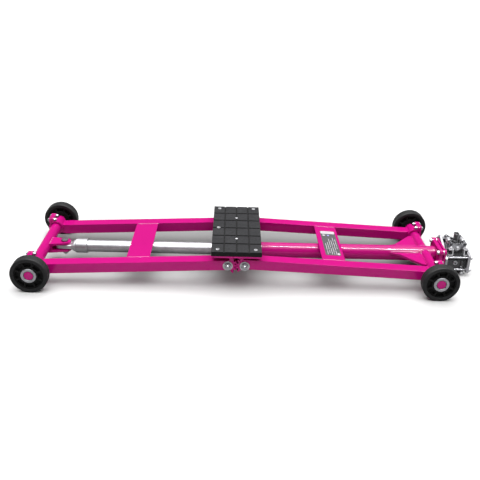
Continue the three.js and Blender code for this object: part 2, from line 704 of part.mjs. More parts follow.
/** Y-shaped rocker: two plates, a shaft through the stands, and a roller pin at each tip. */
function rockerGeometry() {
  const tipZ = ROCKER_Z + ROCKER_RISE
  const tip = (way) => [PUMP_CENTRE_X + way * ROCKER_REACH, tipZ]
  const plate = outline([
    [PUMP_CENTRE_X - 3, PUMP_BODY_HIGH_Z + 1.5],
    [PUMP_CENTRE_X + 3, PUMP_BODY_HIGH_Z + 1.5],
    [PUMP_CENTRE_X + 5, ROCKER_Z - 7],
    ...arcPoints(...tip(1), ROCKER_TIP_R, -60, 110, 8),
    [PUMP_CENTRE_X, ROCKER_Z + 7],
    ...arcPoints(...tip(-1), ROCKER_TIP_R, 70, 240, 8),
    [PUMP_CENTRE_X - 5, ROCKER_Z - 7],
  ])
  const hub = boxBetween([PUMP_CENTRE_X - 7, -11, ROCKER_Z - 4.5], [PUMP_CENTRE_X + 7, 11, ROCKER_Z + 7])
  return join(
    extrudeAlongY(plate, 22, 27),
    extrudeAlongY(plate, -27, -22),
    extrudeAlongY(disc(PUMP_CENTRE_X, ROCKER_Z, 4), -26, 26, 16),
    hub,
    ...[-1, 1].map((way) => extrudeAlongY(disc(...tip(way), ROCKER_PIN_R), -26, 26, 12)))
}

/** Cup that the pump handle's end pushes into. */
function leverSocketGeometry() {
  const low = ROCKER_Z + 7 + GAP
  const high = 113
  const cup = extrudeAlongZ(disc(PUMP_CENTRE_X, 0, 8), low, high, 12)
  return cut(cup, extrudeAlongZ(disc(PUMP_CENTRE_X, 0, 5.5), low + 5, high + 1, 12))
}

function plungerGeometry(way) {
  const x = PUMP_CENTRE_X + way * ROCKER_REACH
  const high = ROCKER_Z + ROCKER_RISE - ROCKER_PIN_R - 0.8
  return join(
    extrudeAlongZ(disc(x, 0, 4), VALVE_TOP_Z - 4, high - 1, 12),
    extrudeAlongZ(disc(x, 0, 6.5), high - 3.5, high, 12))
}

/** Release screw with a hexagon, level with the foot of the pump body and facing the near side. */
function releaseScrewGeometry() {
  const root = -PUMP_BODY_HALF_Y - GAP
  return join(
    extrudeAlongY(disc(RELEASE_X, RELEASE_Z, RELEASE_SHAFT_R), root - RELEASE_SHAFT_LENGTH, root, 12),
    extrudeAlongY(
      hexagon(RELEASE_X, RELEASE_Z, RELEASE_ACROSS_FLATS),
      root - RELEASE_LENGTH,
      root - RELEASE_SHAFT_LENGTH + 1))
}

function portPlugGeometry() {
  const root = -PUMP_BODY_HALF_Y - GAP
  return extrudeAlongY(disc(PORT_X, PORT_Z, PORT_R, PORT_HOLE_R), root - PORT_HEIGHT, root, 16)
}

function pump() {
  const unit = group(
    named('pump_flange', flangeGeometry(FLANGE_X + FLANGE_THICKNESS + GAP), PAINT),
    named('pump_front_plate', pumpFrontPlateGeometry(), ALUMINIUM),
    named('pump_body', pumpBodyGeometry(), BLACK_PAINT),
    named('pump_end_plate', pumpEndPlateGeometry(), ALUMINIUM),
    named('valve_block', valveBlockGeometry(), ALUMINIUM),
    named('port_plug', portPlugGeometry(), STEEL),
    named('pump_rocker', rockerGeometry(), STEEL),
    named('lever_socket', leverSocketGeometry(), BLACK_PAINT),
    named('plunger_front', plungerGeometry(-1), STEEL),
    named('plunger_rear', plungerGeometry(1), STEEL),
    named('release_screw', releaseScrewGeometry(), STEEL))
  for (const side of ['near', 'far']) {
    for (const [index, z] of TIE_ROD_HEIGHTS.entries()) {
      const rod = named(`tie_rod_${side}_${index === 0 ? 'low' : 'high'}`, tieRodGeometry(), STEEL)
      rod.position.set(0, side === 'far' ? TIE_ROD_Y : -TIE_ROD_Y, z)
      unit.add(rod)
    }
  }
  return unit
}

function chassis() {
  return group(
    named('ram_cylinder', extrudeAlongX(disc(0, RAM_Z, CYLINDER_R, CYLINDER_BORE_R),
      CYLINDER_START_X, FLANGE_X - GAP, 18), PAINT),
    named('ram_gland', extrudeAlongX(disc(0, RAM_Z, CYLINDER_R + 1.5, CYLINDER_BORE_R - 0.2),
      CYLINDER_START_X - 12, CYLINDER_START_X - GAP, 18), STEEL),
    named('cylinder_flange', flangeGeometry(FLANGE_X), PAINT),
    named('axle_right_near', halfAxleGeometry(false), PAINT),
    named('axle_right_far', halfAxleGeometry(true), PAINT),
    named('gusset_near', gussetGeometry(false), PAINT),
    named('gusset_far', gussetGeometry(true), PAINT),
    pump())
}

// ---- the whole jack -----------------------------------------------------------------------
const jack = group(chassis(), arm('left'), arm('right'), saddle(), freeAxle())
for (const end of ['left', 'right']) {
  for (const side of ['near', 'far']) {
    jack.add(wheel(end, side))
  }
}
// The origin is on the ground under the middle of the jack's own length.
jack.position.x = -(PUMP_END_X - AXLE_X - WHEEL_R) / 2

export default group(jack)
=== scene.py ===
import math
import random

import bmesh
import bpy
from mathutils import Matrix, Vector


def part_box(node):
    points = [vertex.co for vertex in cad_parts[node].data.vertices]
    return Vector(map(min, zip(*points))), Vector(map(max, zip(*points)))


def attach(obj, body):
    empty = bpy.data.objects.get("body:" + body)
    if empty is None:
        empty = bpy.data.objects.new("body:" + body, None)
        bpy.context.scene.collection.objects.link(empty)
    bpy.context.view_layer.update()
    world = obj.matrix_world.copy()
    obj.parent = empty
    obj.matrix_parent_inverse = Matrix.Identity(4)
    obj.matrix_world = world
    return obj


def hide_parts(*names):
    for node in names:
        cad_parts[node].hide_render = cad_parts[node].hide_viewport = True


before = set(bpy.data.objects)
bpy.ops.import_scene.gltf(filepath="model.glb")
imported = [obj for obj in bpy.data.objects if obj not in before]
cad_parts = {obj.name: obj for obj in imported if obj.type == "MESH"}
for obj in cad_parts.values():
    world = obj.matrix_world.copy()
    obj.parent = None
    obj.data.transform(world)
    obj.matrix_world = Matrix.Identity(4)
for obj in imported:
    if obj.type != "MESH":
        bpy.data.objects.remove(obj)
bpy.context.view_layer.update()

# ---- lengths, in millimetres unless a name says otherwise ----
MM = 0.001
X_AXIS, Y_AXIS, Z_AXIS = Vector((1, 0, 0)), Vector((0, 1, 0)), Vector((0, 0, 1))
SIDES = {"near": -1, "far": 1}
ENDS = {"left": -1, "right": 1}
AXLE_BODY = {"left": "free_axle", "right": "chassis"}

RAIL_SLOPE = 0.046  # drop of the rails per millimetre towards the axles
NEARLY_NOTHING = 1e-6

# The floor and the lights, in metres, degrees and watts.
FLOOR_REACH = 60
FLOOR_PALE = (0.50, 0.50, 0.50)
# FLOOR_SHADE is a painted shadow in the floor's colour under the jack; SHADE_X and SHADE_Y give where
# it is full and where it has faded out.
FLOOR_SHADE = (0.18, 0.18, 0.18)
SHADE_X = (-0.61, -0.49, 0.45, 0.57)  # clear, full, full, clear
SHADE_Y = (-0.27, 0.06, 0.20, 0.33)
WORLD_STRENGTH = 0.23
SUN_TOWARDS = (0.03, 0.06, 1.0)
SUN_STRENGTH = 7.2
SUN_ANGLE = 92
STRIP_PLACE = (0.2, -0.3, 1.8)
STRIP_TARGET = (0.2, 0, 0.05)
STRIP_SIZE = (1.8, 0.12)
STRIP_POWER = 170

CAMERA_LENS_MM = 50.204
CAMERA_PLACE = (-62.69, -1736.90, 912.77)
CAMERA_PITCH, CAMERA_YAW, CAMERA_ROLL = 25.745, -1.083, 1.777  # degrees


def box_of(node):
    """Lowest and highest corner of a CAD node, in millimetres."""
    low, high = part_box(node)
    return Vector(low) / MM, Vector(high) / MM


def middle_of(node):
    low, high = box_of(node)
    return (low + high) / 2


MID_X = middle_of("rubber_pad").x  # the middle of the two arms
AXLE_Z = middle_of("axle_left").z
AXLE_X = {end: middle_of(f"tyre_{end}_near").x for end in ENDS}
RAM_Z = middle_of("ram_rod").z


# ---- camera, light, floor ----
def add_camera():
    camera = bpy.data.cameras.new("camera")
    camera.lens = CAMERA_LENS_MM
    camera.clip_start = 0.01
    camera.clip_end = 50
    holder = bpy.data.objects.new("camera", camera)
    turn = (
        Matrix.Rotation(math.radians(CAMERA_YAW), 4, "Z")
        @ Matrix.Rotation(math.radians(90 - CAMERA_PITCH), 4, "X")
        @ Matrix.Rotation(math.radians(CAMERA_ROLL), 4, "Z")
    )
    holder.matrix_world = Matrix.Translation(Vector(CAMERA_PLACE) * MM) @ turn
    bpy.context.collection.objects.link(holder)
    bpy.context.scene.camera = holder


def add_strip_light():
    """A long thin light above the near side, which shows only in reflections."""
    light = bpy.data.lights.new("strip_light", "AREA")
    light.shape = "RECTANGLE"
    light.size, light.size_y = STRIP_SIZE
    light.energy = STRIP_POWER
    holder = bpy.data.objects.new("strip_light", light)
    holder.location = STRIP_PLACE
    view = Vector(STRIP_TARGET) - Vector(STRIP_PLACE)
    holder.rotation_euler = view.to_track_quat("-Z", "Y").to_euler()
    holder.visible_diffuse = False
    bpy.context.collection.objects.link(holder)


def add_overhead_light():
    """A soft distant light, almost straight above."""
    light = bpy.data.lights.new("overhead_light", "SUN")
    light.energy = SUN_STRENGTH
    light.angle = math.radians(SUN_ANGLE)
    holder = bpy.data.objects.new("overhead_light", light)
    holder.rotation_euler = Vector(SUN_TOWARDS).to_track_quat("Z", "Y").to_euler()
    bpy.context.collection.objects.link(holder)


def add_lights():
    scene = bpy.context.scene
    scene.view_settings.view_transform = "Standard"
    world = bpy.data.worlds.new("studio")
    scene.world = world
    world.use_nodes = True
    background = world.node_tree.nodes["Background"]
    background.inputs["Color"].default_value = (1, 1, 1, 1)
    background.inputs["Strength"].default_value = WORLD_STRENGTH
    add_overhead_light()
    add_strip_light()


def add_node(tree, kind, inputs, **settings):
    """The outputs of a new shader node. Its inputs are values, or other outputs to link."""
    node = tree.nodes.new(f"ShaderNode{kind}")
    for name, value in settings.items():
        setattr(node, name, value)
    for name, value in inputs.items():
        if isinstance(value, bpy.types.NodeSocket):
            tree.links.new(value, node.inputs[name])
        else:
            node.inputs[name].default_value = value
    return node.outputs


def map_range(tree, value, low, high, from_value, to_value, kind="LINEAR"):
    """value mapped from low..high to from_value..to_value, clamped."""
    return add_node(tree, "MapRange", {
        "Value": value, "From Min": low, "From Max": high, "To Min": from_value, "To Max": to_value,
    }, interpolation_type=kind)["Result"]


def product(tree, first, second):
    """The two values multiplied."""
    return add_node(tree, "Math", {0: first, 1: second}, operation="MULTIPLY")["Value"]


def fade_across(tree, output, low_clear, low_full, high_full, high_clear):
    """One between the two full places along an axis, falling to nothing at the clear ones."""
    rise = map_range(tree, output, low_clear, low_full, 0, 1, "SMOOTHERSTEP")
    fall = map_range(tree, output, high_full, high_clear, 1, 0, "SMOOTHERSTEP")
    return product(tree, rise, fall)


def floor_shader(material):
    """Pale floor with a painted shadow: darker under the jack and a little beyond its far side."""
    tree = material.node_tree
    shader = tree.nodes["Principled BSDF"]
    shader.inputs["Roughness"].default_value = 0.8
    shader.inputs["Specular IOR Level"].default_value = 0.1
    place = add_node(tree, "TexCoord", {})["Object"]
    along = add_node(tree, "SeparateXYZ", {"Vector": place})
    # The painted shadow's strength: full under the jack, none beyond the clear places.
    shade = product(
        tree, fade_across(tree, along["X"], *SHADE_X), fade_across(tree, along["Y"], *SHADE_Y))
    colours = {"A": (*FLOOR_PALE, 1), "B": (*FLOOR_SHADE, 1), "Factor": shade}
    mix = add_node(tree, "Mix", colours, data_type="RGBA")
    tree.links.new(mix["Result"], shader.inputs["Base Color"])


def add_floor():
    mesh = bpy.data.meshes.new("floor")
    reach = FLOOR_REACH
    mesh.from_pydata(
        [(-reach, -reach, 0), (reach, -reach, 0), (reach, reach, 0), (-reach, reach, 0)],
        [], [(0, 1, 2, 3)])
    floor = bpy.data.objects.new("floor", mesh)
    bpy.context.collection.objects.link(floor)
    material = bpy.data.materials.new("floor")
    material.use_nodes = True
    floor_shader(material)
    mesh.materials.append(material)


# ---- materials ----
class Surface:
    """A principled material with small helpers for its procedural detail."""

    def __init__(self, name, slot, colour, roughness, metallic=0.0):
        self.slot = slot
        self.material = bpy.data.materials.new(name)
        self.material.use_nodes = True
        self.tree = self.material.node_tree
        self.shader = self.tree.nodes["Principled BSDF"]
        self.place = add_node(self.tree, "TexCoord", {})["Object"]
        self.number("Base Color", (*colour, 1))
        self.number("Roughness", roughness)
        self.number("Metallic", metallic)

    def number(self, socket, value):
        self.shader.inputs[socket].default_value = value

    def coat(self, weight, roughness):
        self.number("Coat Weight", weight)
        self.number("Coat Roughness", roughness)

    def link(self, socket, output):
        self.tree.links.new(output, self.shader.inputs[socket])

    def noise(self, scale, detail, stretch=None):
        """A noise pattern; scale is in features per metre."""
        place = self.place
        if stretch:
            place = add_node(self.tree, "Mapping", {"Vector": place, "Scale": stretch})["Vector"]
        pattern = {"Vector": place, "Scale": scale, "Detail": detail}
        return add_node(self.tree, "TexNoise", pattern)["Fac"]

    def ramp(self, value, low, high, from_value=0.0, to_value=1.0):
        return map_range(self.tree, value, low, high, from_value, to_value)

    def mixed(self, factor, first, second):
        """Between two colours by factor. The first may be another node's output."""
        if isinstance(first, tuple):
            first = (*first, 1)
        colours = {"A": first, "B": (*second, 1), "Factor": factor}
        return add_node(self.tree, "Mix", colours, data_type="RGBA")["Result"]

    def mottle(self, factor, first, second):
        """Base colour between two colours by factor."""
        self.link("Base Color", self.mixed(factor, first, second))

    def roughen(self, noise, low, high):
        """Roughness from low to high by a noise."""
        self.link("Roughness", self.ramp(noise, 0.3, 0.7, low, high))

    def bump(self, height, strength, distance):
        inputs = {"Strength": strength, "Distance": distance, "Height": height}
        previous = self.shader.inputs["Normal"].links
        if previous:
            inputs["Normal"] = previous[0].from_socket
        self.link("Normal", add_node(self.tree, "Bump", inputs)["Normal"])

    def height(self):
        """Height above the floor at rest."""
        return add_node(self.tree, "SeparateXYZ", {"Vector": self.place})["Z"]

    def painted_edge_highlight(self, radius):
        """1 on sharp edges, where a painted highlight goes, 0 elsewhere."""
        rounded = add_node(self.tree, "Bevel", {"Radius": radius}, samples=4)["Normal"]
        true = add_node(self.tree, "NewGeometry", {})["Normal"]
        dot = add_node(self.tree, "VectorMath", {0: rounded, 1: true}, operation="DOT_PRODUCT")
        return self.ramp(dot["Value"], 0.985, 0.90)


def pink_paint():
    paint = Surface("pink_powder_coat", "pink_paint", (0.34, 0.004, 0.125), 0.32)
    paint.mottle(paint.noise(9, 3), (0.36, 0.0035, 0.134), (0.32, 0.003, 0.118))
    paint.roughen(paint.noise(14, 2), 0.28, 0.36)
    paint.bump(paint.noise(260, 2), 0.03, 0.0002)
    paint.number("Specular IOR Level", 0.0)
    paint.coat(0.32, 0.09)
    return paint


def weld_paint():
    paint = Surface("painted_weld", "pink_paint", (0.34, 0.004, 0.125), 0.2)
    paint.mottle(paint.noise(120, 3), (0.40, 0.010, 0.16), (0.24, 0.003, 0.09))
    paint.roughen(paint.noise(150, 4), 0.12, 0.22)
    paint.bump(paint.noise(260, 3), 0.5, 0.0012)
    paint.number("Specular IOR Level", 0.5)
    paint.coat(0.8, 0.06)
    return paint


def steel(name, slot, colour, roughness, grain, stretch=None):
    """A metal with cloudy colour and fine grain, stretched where the metal is brushed."""
    metal = Surface(name, slot, colour, roughness, 1.0)
    darker = tuple(channel * 0.82 for channel in colour)
    metal.mottle(metal.ramp(metal.noise(90, 5), 0.35, 0.7), colour, darker)
    metal.roughen(metal.noise(grain, 6, stretch), roughness * 0.75, roughness * 1.3)
    metal.bump(metal.noise(grain * 2, 4, stretch), 0.12, 0.0003)
    return metal


def cast_aluminium():
    metal = steel("cast_aluminium", "cast_aluminium", (0.25, 0.245, 0.26), 0.40, 260)
    metal.bump(metal.noise(1400, 2), 0.2, 0.0004)
    return metal


def pad_rubber():
    """Black rubber with dust on top, and painted shade: near black in the grooves and down the sides.
    """
    rubber = Surface("moulded_rubber", "pad_rubber", (0.030, 0.030, 0.032), 0.62)
    dust = rubber.ramp(rubber.noise(22, 6), 0.45, 0.75)
    tops = rubber.mixed(dust, (0.0105, 0.0105, 0.0122), (0.0175, 0.0175, 0.0192))
    top = box_of("rubber_pad")[1].z * MM
    # Painted shade: from 1.1 to 2.6 mm below the top the colour fades to near black, in the grooves
    # and on the pad's sides.
    painted_groove_shade = rubber.ramp(rubber.height(), top - 0.0011, top - 0.0026)
    rubber.mottle(painted_groove_shade, tops, (0.0022, 0.0022, 0.0025))
    rubber.roughen(rubber.noise(200, 3), 0.5, 0.72)
    rubber.bump(rubber.noise(1500, 3), 0.35, 0.0005)
    rubber.number("Specular IOR Level", 0.12)
    return rubber


def tread_rubber():
    rubber = Surface("tread_rubber", "tread_rubber", (0.014, 0.014, 0.015), 0.6)
    scuff = rubber.ramp(rubber.noise(40, 7), 0.5, 0.8)
    rubber.mottle(scuff, (0.0075, 0.0075, 0.0082), (0.013, 0.013, 0.0125))
    rubber.roughen(rubber.noise(150, 4), 0.5, 0.75)
    rubber.bump(rubber.noise(1100, 3), 0.3, 0.0005)
    rubber.number("Specular IOR Level", 0.15)
    return rubber


def wheel_core():
    plastic = Surface("wheel_core_plastic", "wheel_core", (0.003, 0.003, 0.003), 0.5)
    plastic.mottle(plastic.noise(35, 5), (0.002, 0.002, 0.002), (0.005, 0.005, 0.005))
    plastic.roughen(plastic.noise(260, 3), 0.5, 0.68)
    plastic.bump(plastic.noise(1600, 2), 0.15, 0.0003)
    plastic.number("Specular IOR Level", 0.10)
    return plastic


def black_metal():
    """Satin black, with a painted highlight: light grey along sharp edges."""
    metal = Surface("satin_black_metal", "black_metal", (0.022, 0.022, 0.024), 0.38, 0.3)
    base = metal.mixed(metal.noise(70, 5), (0.018, 0.018, 0.020), (0.040, 0.040, 0.042))
    # Painted highlight: the sharp edges go light grey.
    metal.mottle(metal.painted_edge_highlight(0.0008), base, (0.20, 0.20, 0.21))
    metal.roughen(metal.noise(180, 4), 0.3, 0.5)
    metal.bump(metal.noise(900, 3), 0.2, 0.0004)
    return metal


def plate_finish(name, colour, roughness):
    """Printed film in one colour, a little mottled."""
    film = Surface(name, "black_metal", colour, roughness)
    lighter = tuple(min(1.0, channel * 1.25 + 0.01) for channel in colour)
    film.mottle(film.noise(150, 4), colour, lighter)
    film.roughen(film.noise(300, 4), roughness * 0.8, roughness * 1.2)
    return film


PINK = pink_paint()
WELD = weld_paint()
ZINC = steel("zinc_plate", "zinc_steel", (0.23, 0.23, 0.245), 0.30, 300)
CHROME = steel("polished_rod", "polished_rod", (0.30, 0.295, 0.31), 0.42, 160, (1, 40, 40))
DULL_STEEL = steel("dark_steel", "zinc_steel", (0.07, 0.07, 0.075), 0.4, 300)
DARK_STEEL = steel("blackened_steel", "black_metal", (0.06, 0.06, 0.065), 0.4, 300)
BRIGHT = steel("bright_zinc", "zinc_steel", (0.38, 0.38, 0.395), 0.46, 300)
ALUMINIUM = cast_aluminium()
PAD = pad_rubber()
TREAD = tread_rubber()
CORE = wheel_core()
BLACK = black_metal()
PLATE_DARK = plate_finish("plate_dark", (0.009, 0.009, 0.012), 0.6)
PLATE_LIGHT = plate_finish("plate_light", (0.34, 0.32, 0.34), 0.4)
PLATE_GREY = plate_finish("plate_grey", (0.30, 0.28, 0.31), 0.45)
PLATE_LILAC = plate_finish("plate_lilac", (0.20, 0.18, 0.42), 0.45)


# ---- mesh helpers: every mesh is drawn in millimetres ----
WELD_SIDES = 8


def frame_of(axis):
    """Two directions square to an axis."""
    axis = Vector(axis).normalized()
    across = Y_AXIS.cross(axis) if abs(axis.y) < 0.9 else Z_AXIS.cross(axis)
    across.normalize()
    return across, axis.cross(across)


def bridge(bm, rings):
    """Join each ring of vertices to the next. A ring may be one vertex, repeated."""
    for first, second in zip(rings, rings[1:]):
        count = len(first)
        for step in range(count):
            following = (step + 1) % count
            corners = [first[step], first[following], second[following], second[step]]
            unique = list(dict.fromkeys(corners))
            if len(unique) >= 3:
                bm.faces.new(unique)


def close_ends(bm, rings):
    bm.faces.new(rings[0][::-1])
    bm.faces.new(rings[-1])


def circle(bm, centre, across, up, radius, sides):
    """A ring of vertices round a centre."""
    ring = []
    for side in range(sides):
        angle = 2 * math.pi * side / sides
        outward = across * math.cos(angle) + up * math.sin(angle)
        ring.append(bm.verts.new(centre + outward * radius))
    return ring


def lathe(bm, profile, origin, axis, segments=64):
    """Turn (radius, along) points round an axis. A closed profile repeats its first point."""
    origin, axis = Vector(origin), Vector(axis).normalized()
    across, up = frame_of(axis)
    rings = []
    for radius, along in profile:
        centre = origin + axis * along
        if radius < NEARLY_NOTHING:
            rings.append([bm.verts.new(centre)] * segments)
        else:
            rings.append(circle(bm, centre, across, up, radius, segments))
    bridge(bm, rings)


def rod_profile(radius, low, high):
    return [(0, low), (radius, low), (radius, high), (0, high)]


def ring_profile(inner, outer, low, high):
    return [(inner, low), (outer, low), (outer, high), (inner, high), (inner, low)]


def prism(bm, points, low, high, axis, origin=(0, 0, 0)):
    """Extrude an outline of (across, up) points along an axis."""
    origin, axis = Vector(origin), Vector(axis).normalized()
    across, up = frame_of(axis)
    rings = []
    for along in (low, high):
        rings.append([bm.verts.new(origin + across * a + up * b + axis * along) for a, b in points])
    close_ends(bm, rings)
    bridge(bm, rings)


def block(bm, corner, opposite):
    """A box between any two opposite corners."""
    low, high = zip(*(sorted(pair) for pair in zip(corner, opposite)))
    verts = []
    for x in (low[0], high[0]):
        for y in (low[1], high[1]):
            verts += [bm.verts.new((x, y, z)) for z in (low[2], high[2])]
    for face in ((0, 1, 3, 2), (4, 6, 7, 5), (0, 4, 5, 1), (2, 3, 7, 6), (0, 2, 6, 4), (1, 5, 7, 3)):
        bm.faces.new([verts[index] for index in face])


def soften(bm, width, segments=2, angle=40, keep=None):
    """Round the edges sharper than an angle. keep(edge) picks which of them."""
    bmesh.ops.recalc_face_normals(bm, faces=bm.faces)
    limit = math.radians(angle)
    edges = []
    for edge in bm.edges:
        sharp = len(edge.link_faces) == 2 and edge.calc_face_angle(0) > limit
        if sharp and (keep is None or keep(edge)):
            edges.append(edge)
    if edges:
        bmesh.ops.bevel(bm, geom=edges, offset=width, segments=segments, profile=0.5,
                        affect="EDGES", clamp_overlap=True)


def copy_of(node):
    """A CAD node's mesh in millimetres, welded, with its flat faces whole again."""
    bm = bmesh.new()
    bm.from_mesh(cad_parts[node].data)
    bmesh.ops.scale(bm, vec=(1 / MM,) * 3, verts=bm.verts)
    bmesh.ops.remove_doubles(bm, verts=bm.verts, dist=0.002)
    bmesh.ops.dissolve_limit(bm, angle_limit=math.radians(1.5), verts=bm.verts, edges=bm.edges)
    return bm


def finish_piece(name, bm, surface, body, *nodes, sharp=38):
    """Make a piece of a mesh drawn in millimetres, and put it on a body."""
    bmesh.ops.remove_doubles(bm, verts=bm.verts, dist=1e-4)
    bmesh.ops.recalc_face_normals(bm, faces=bm.faces)
    bmesh.ops.scale(bm, vec=(MM,) * 3, verts=bm.verts)
    mesh = bpy.data.meshes.new(name)
    bm.to_mesh(mesh)
    bm.free()
    for polygon in mesh.polygons:
        polygon.use_smooth = True
    mesh.set_sharp_from_angle(angle=math.radians(sharp))
    mesh.materials.append(surface.material)
    piece = bpy.data.objects.new(name, mesh)
    bpy.context.collection.objects.link(piece)
    flatten = piece.modifiers.new("flat_faces", "WEIGHTED_NORMAL")
    flatten.keep_sharp = True
    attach(piece, body)
    if nodes:
        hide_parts(*nodes)


def turned(name, profile, origin, axis, surface, body, *nodes, segments=64):
    """A piece that is one turned shape."""
    bm = bmesh.new()
    lathe(bm, profile, origin, axis, segments)
    finish_piece(name, bm, surface, body, *nodes)


def hex_head(bm, across_flats, low, high, axis, origin, turn=0.0):
    """A hexagon with its outer corners chamfered, from low to high along the axis."""
    part = bmesh.new()
    hexagon = arc(0, 0, across_flats / math.sqrt(3), turn, turn + 300, 5)
    prism(part, hexagon, low, high, axis, origin)
    soften(part, min(0.9, abs(high - low) * 0.22), angle=50)
    add(bm, part)


def add(bm, part):
    """Put one mesh into another."""
    mesh = bpy.data.meshes.new("part")
    part.to_mesh(mesh)
    part.free()
    bm.from_mesh(mesh)
    bpy.data.meshes.remove(mesh)


def thread_profile(radius, low, high, pitch, depth):
    """A threaded rod's outline, as rings."""
    root = radius - depth
    profile = [(0, low), (root, low)]
    turns = max(1, int((high - low - 1.0) / pitch))
    for turn in range(turns):
        start = low + 0.4 + turn * pitch
        profile += [(root, start), (radius, start + pitch * 0.45), (radius, start + pitch * 0.6)]
    profile += [(root, high - 0.4), (root - 0.5, high), (0, high)]
    return profile


def along_line(points, step):
    """Points about one step apart along a line of points."""
    samples = []
    for start, end in zip(points, points[1:]):
        count = max(1, round((end - start).length / step))
        samples += [start.lerp(end, index / count) for index in range(count)]
    samples.append(points[-1])
    return samples


def weld_bead(bm, points, radius, seed, closed=False):
    """A rippled bead of weld along a line of points."""
    rng = random.Random(seed)
    line = [Vector(point) for point in points]
    if closed:
        line.append(line[0])
    samples = along_line(line, radius * 0.42)
    last = len(samples) - 1
    rings = []
    for index, centre in enumerate(samples):
        along = samples[min(index + 1, last)] - samples[max(index - 1, 0)]
        along = along.normalized() if along.length > NEARLY_NOTHING else X_AXIS
        across, up = frame_of(along)
        swell = radius * (0.86 + 0.2 * (index % 4 < 2) + rng.uniform(-0.06, 0.06))
        if not closed:
            swell *= min(1.0, (min(index, last - index) + 1) / 3)
        rings.append(circle(bm, centre, across, up, swell, WELD_SIDES))
    bridge(bm, rings)
    close_ends(bm, rings)


def arc(a, b, radius, start, end, steps):
    """Points round (a, b) from one angle to another, in degrees."""
    angles = [math.radians(start + (end - start) * step / steps) for step in range(steps + 1)]
    return [(a + radius * math.cos(angle), b + radius * math.sin(angle)) for angle in angles]


# ---- wheels ----
TYRE_INNER_R, SHOULDER_R = 39.4, 3.2
CORE_HALF = 14
HUB_RECESS = 2.6  # how far the core's face lies inside the tyre's
POCKETS = 8
POCKET_INNER_R, POCKET_OUTER_R = 25.2, 36.2
POCKET_DEPTH, POCKET_WALL = 7.0, 1.2
RIB_HALF = 1.9
CORE_GROOVES = ((37.2, 38.2, 0.8), (22.4, 23.2, 0.7))  # from radius, to radius, depth
# The core's face is a grid: its radii, and its angles within one pocket.
CORE_RADII = (13.1, 13.9, 21.0, 22.3, 22.5, 23.1, 23.3, 25.1, 25.5, 26.4, 28.5, 31.0, 33.5, 35.0,
              35.9, 36.3, 37.1, 37.3, 38.1, 38.3, 39.5)
POCKET_ANGLES = (-22.5, -20.6, -19.2, -17.6, -16.0, -14.0, -8.0, 0,
                 8.0, 14.0, 16.0, 17.6, 19.2, 20.6)
RING_OUTER_R, RING_INNER_R = 20.5, 13.5
CIRCLIP_OUTER_R, CIRCLIP_INNER_R = 13.4, 11.6
CIRCLIP_Y = 192.6
CIRCLIP_START = {"left": -52, "right": 128}  # degrees, the middle of its opening


def tyre(end, side):
    name = f"tyre_{end}_{side}"
    low, high = box_of(name)
    radius, half = (high.z - low.z) / 2, (high.y - low.y) / 2
    crown = radius - SHOULDER_R
    profile = [(TYRE_INNER_R, -half + 1.2), (radius - 7.5, -half + 0.25)]
    profile += arc(crown, -half + SHOULDER_R, SHOULDER_R, -90, 0, 6)
    profile += [(radius, 0)]
    profile += arc(crown, half - SHOULDER_R, SHOULDER_R, 0, 90, 6)
    profile += [(radius - 7.5, half - 0.25), (TYRE_INNER_R, half - 1.2)]
    profile += profile[:1]
    turned(f"{name}_moulded", profile, middle_of(name), Y_AXIS, TREAD, f"wheel_{end}_{side}", name,
           segments=96)


def share_of(distance, whole):
    """How much of the whole a distance is, held between none and all."""
    return min(1.0, max(0.0, distance / whole))


def pocket_depth(angle, radius):
    """How deep the core's face lies at a point: a ring of pockets between ribs."""
    sector = 360 / POCKETS
    off = abs((angle + sector / 2) % sector - sector / 2)
    edge = sector / 2 - math.degrees(RIB_HALF / radius)
    side_share = share_of(edge - off, math.degrees(POCKET_WALL / radius))
    inner_share = share_of(radius - POCKET_INNER_R, POCKET_WALL)
    outer_share = share_of(POCKET_OUTER_R - radius, POCKET_WALL)
    depth = POCKET_DEPTH * min(side_share, inner_share, outer_share)
    for start, stop, deep in CORE_GROOVES:
        if start < radius < stop:
            depth += deep
    return depth


def core_face(bm, centre, outward, face_y):
    """One moulded face of the wheel's core, and its innermost and outermost vertices."""
    sector = 360 / POCKETS
    angles = [pocket * sector + off for pocket in range(POCKETS) for off in POCKET_ANGLES]
    rings = []
    for radius in CORE_RADII:
        lift = -0.5 if radius in (CORE_RADII[0], CORE_RADII[-1]) else 0.0
        ring = []
        for angle in angles:
            turn = math.radians(angle)
            y = face_y - pocket_depth(angle, radius) + lift
            place = Vector((radius * math.cos(turn), outward * y, radius * math.sin(turn)))
            ring.append(bm.verts.new(centre + place))
        rings.append(ring)
    bridge(bm, rings)
    return rings[0], rings[-1]


def core(end, side):
    name = f"hub_{end}_{side}"
    low, high = box_of(f"tyre_{end}_{side}")
    half = (high.y - low.y) / 2
    bm = bmesh.new()
    borders = [core_face(bm, middle_of(name), way, half - HUB_RECESS) for way in (1, -1)]
    for first, second in zip(*borders):
        bridge(bm, [first, second])
    finish_piece(f"wheel_core_{end}_{side}", bm, CORE, f"wheel_{end}_{side}", name, sharp=30)


def bearing_ring(end, side):
    """Bright flanged bearing ring in the core's outer face."""
    face = CORE_HALF - HUB_RECESS
    top = face + 1.9
    profile = [
        (RING_INNER_R, face - 3), (RING_INNER_R, top - 0.5), (RING_INNER_R + 0.5, top),
        (RING_OUTER_R - 0.6, top), (RING_OUTER_R, top - 0.6), (RING_OUTER_R, face - 3),
        (RING_INNER_R, face - 3),
    ]
    turned(f"bearing_ring_{end}_{side}", profile, middle_of(f"hub_{end}_{side}"),
           Y_AXIS * SIDES[side], ZINC, f"wheel_{end}_{side}")


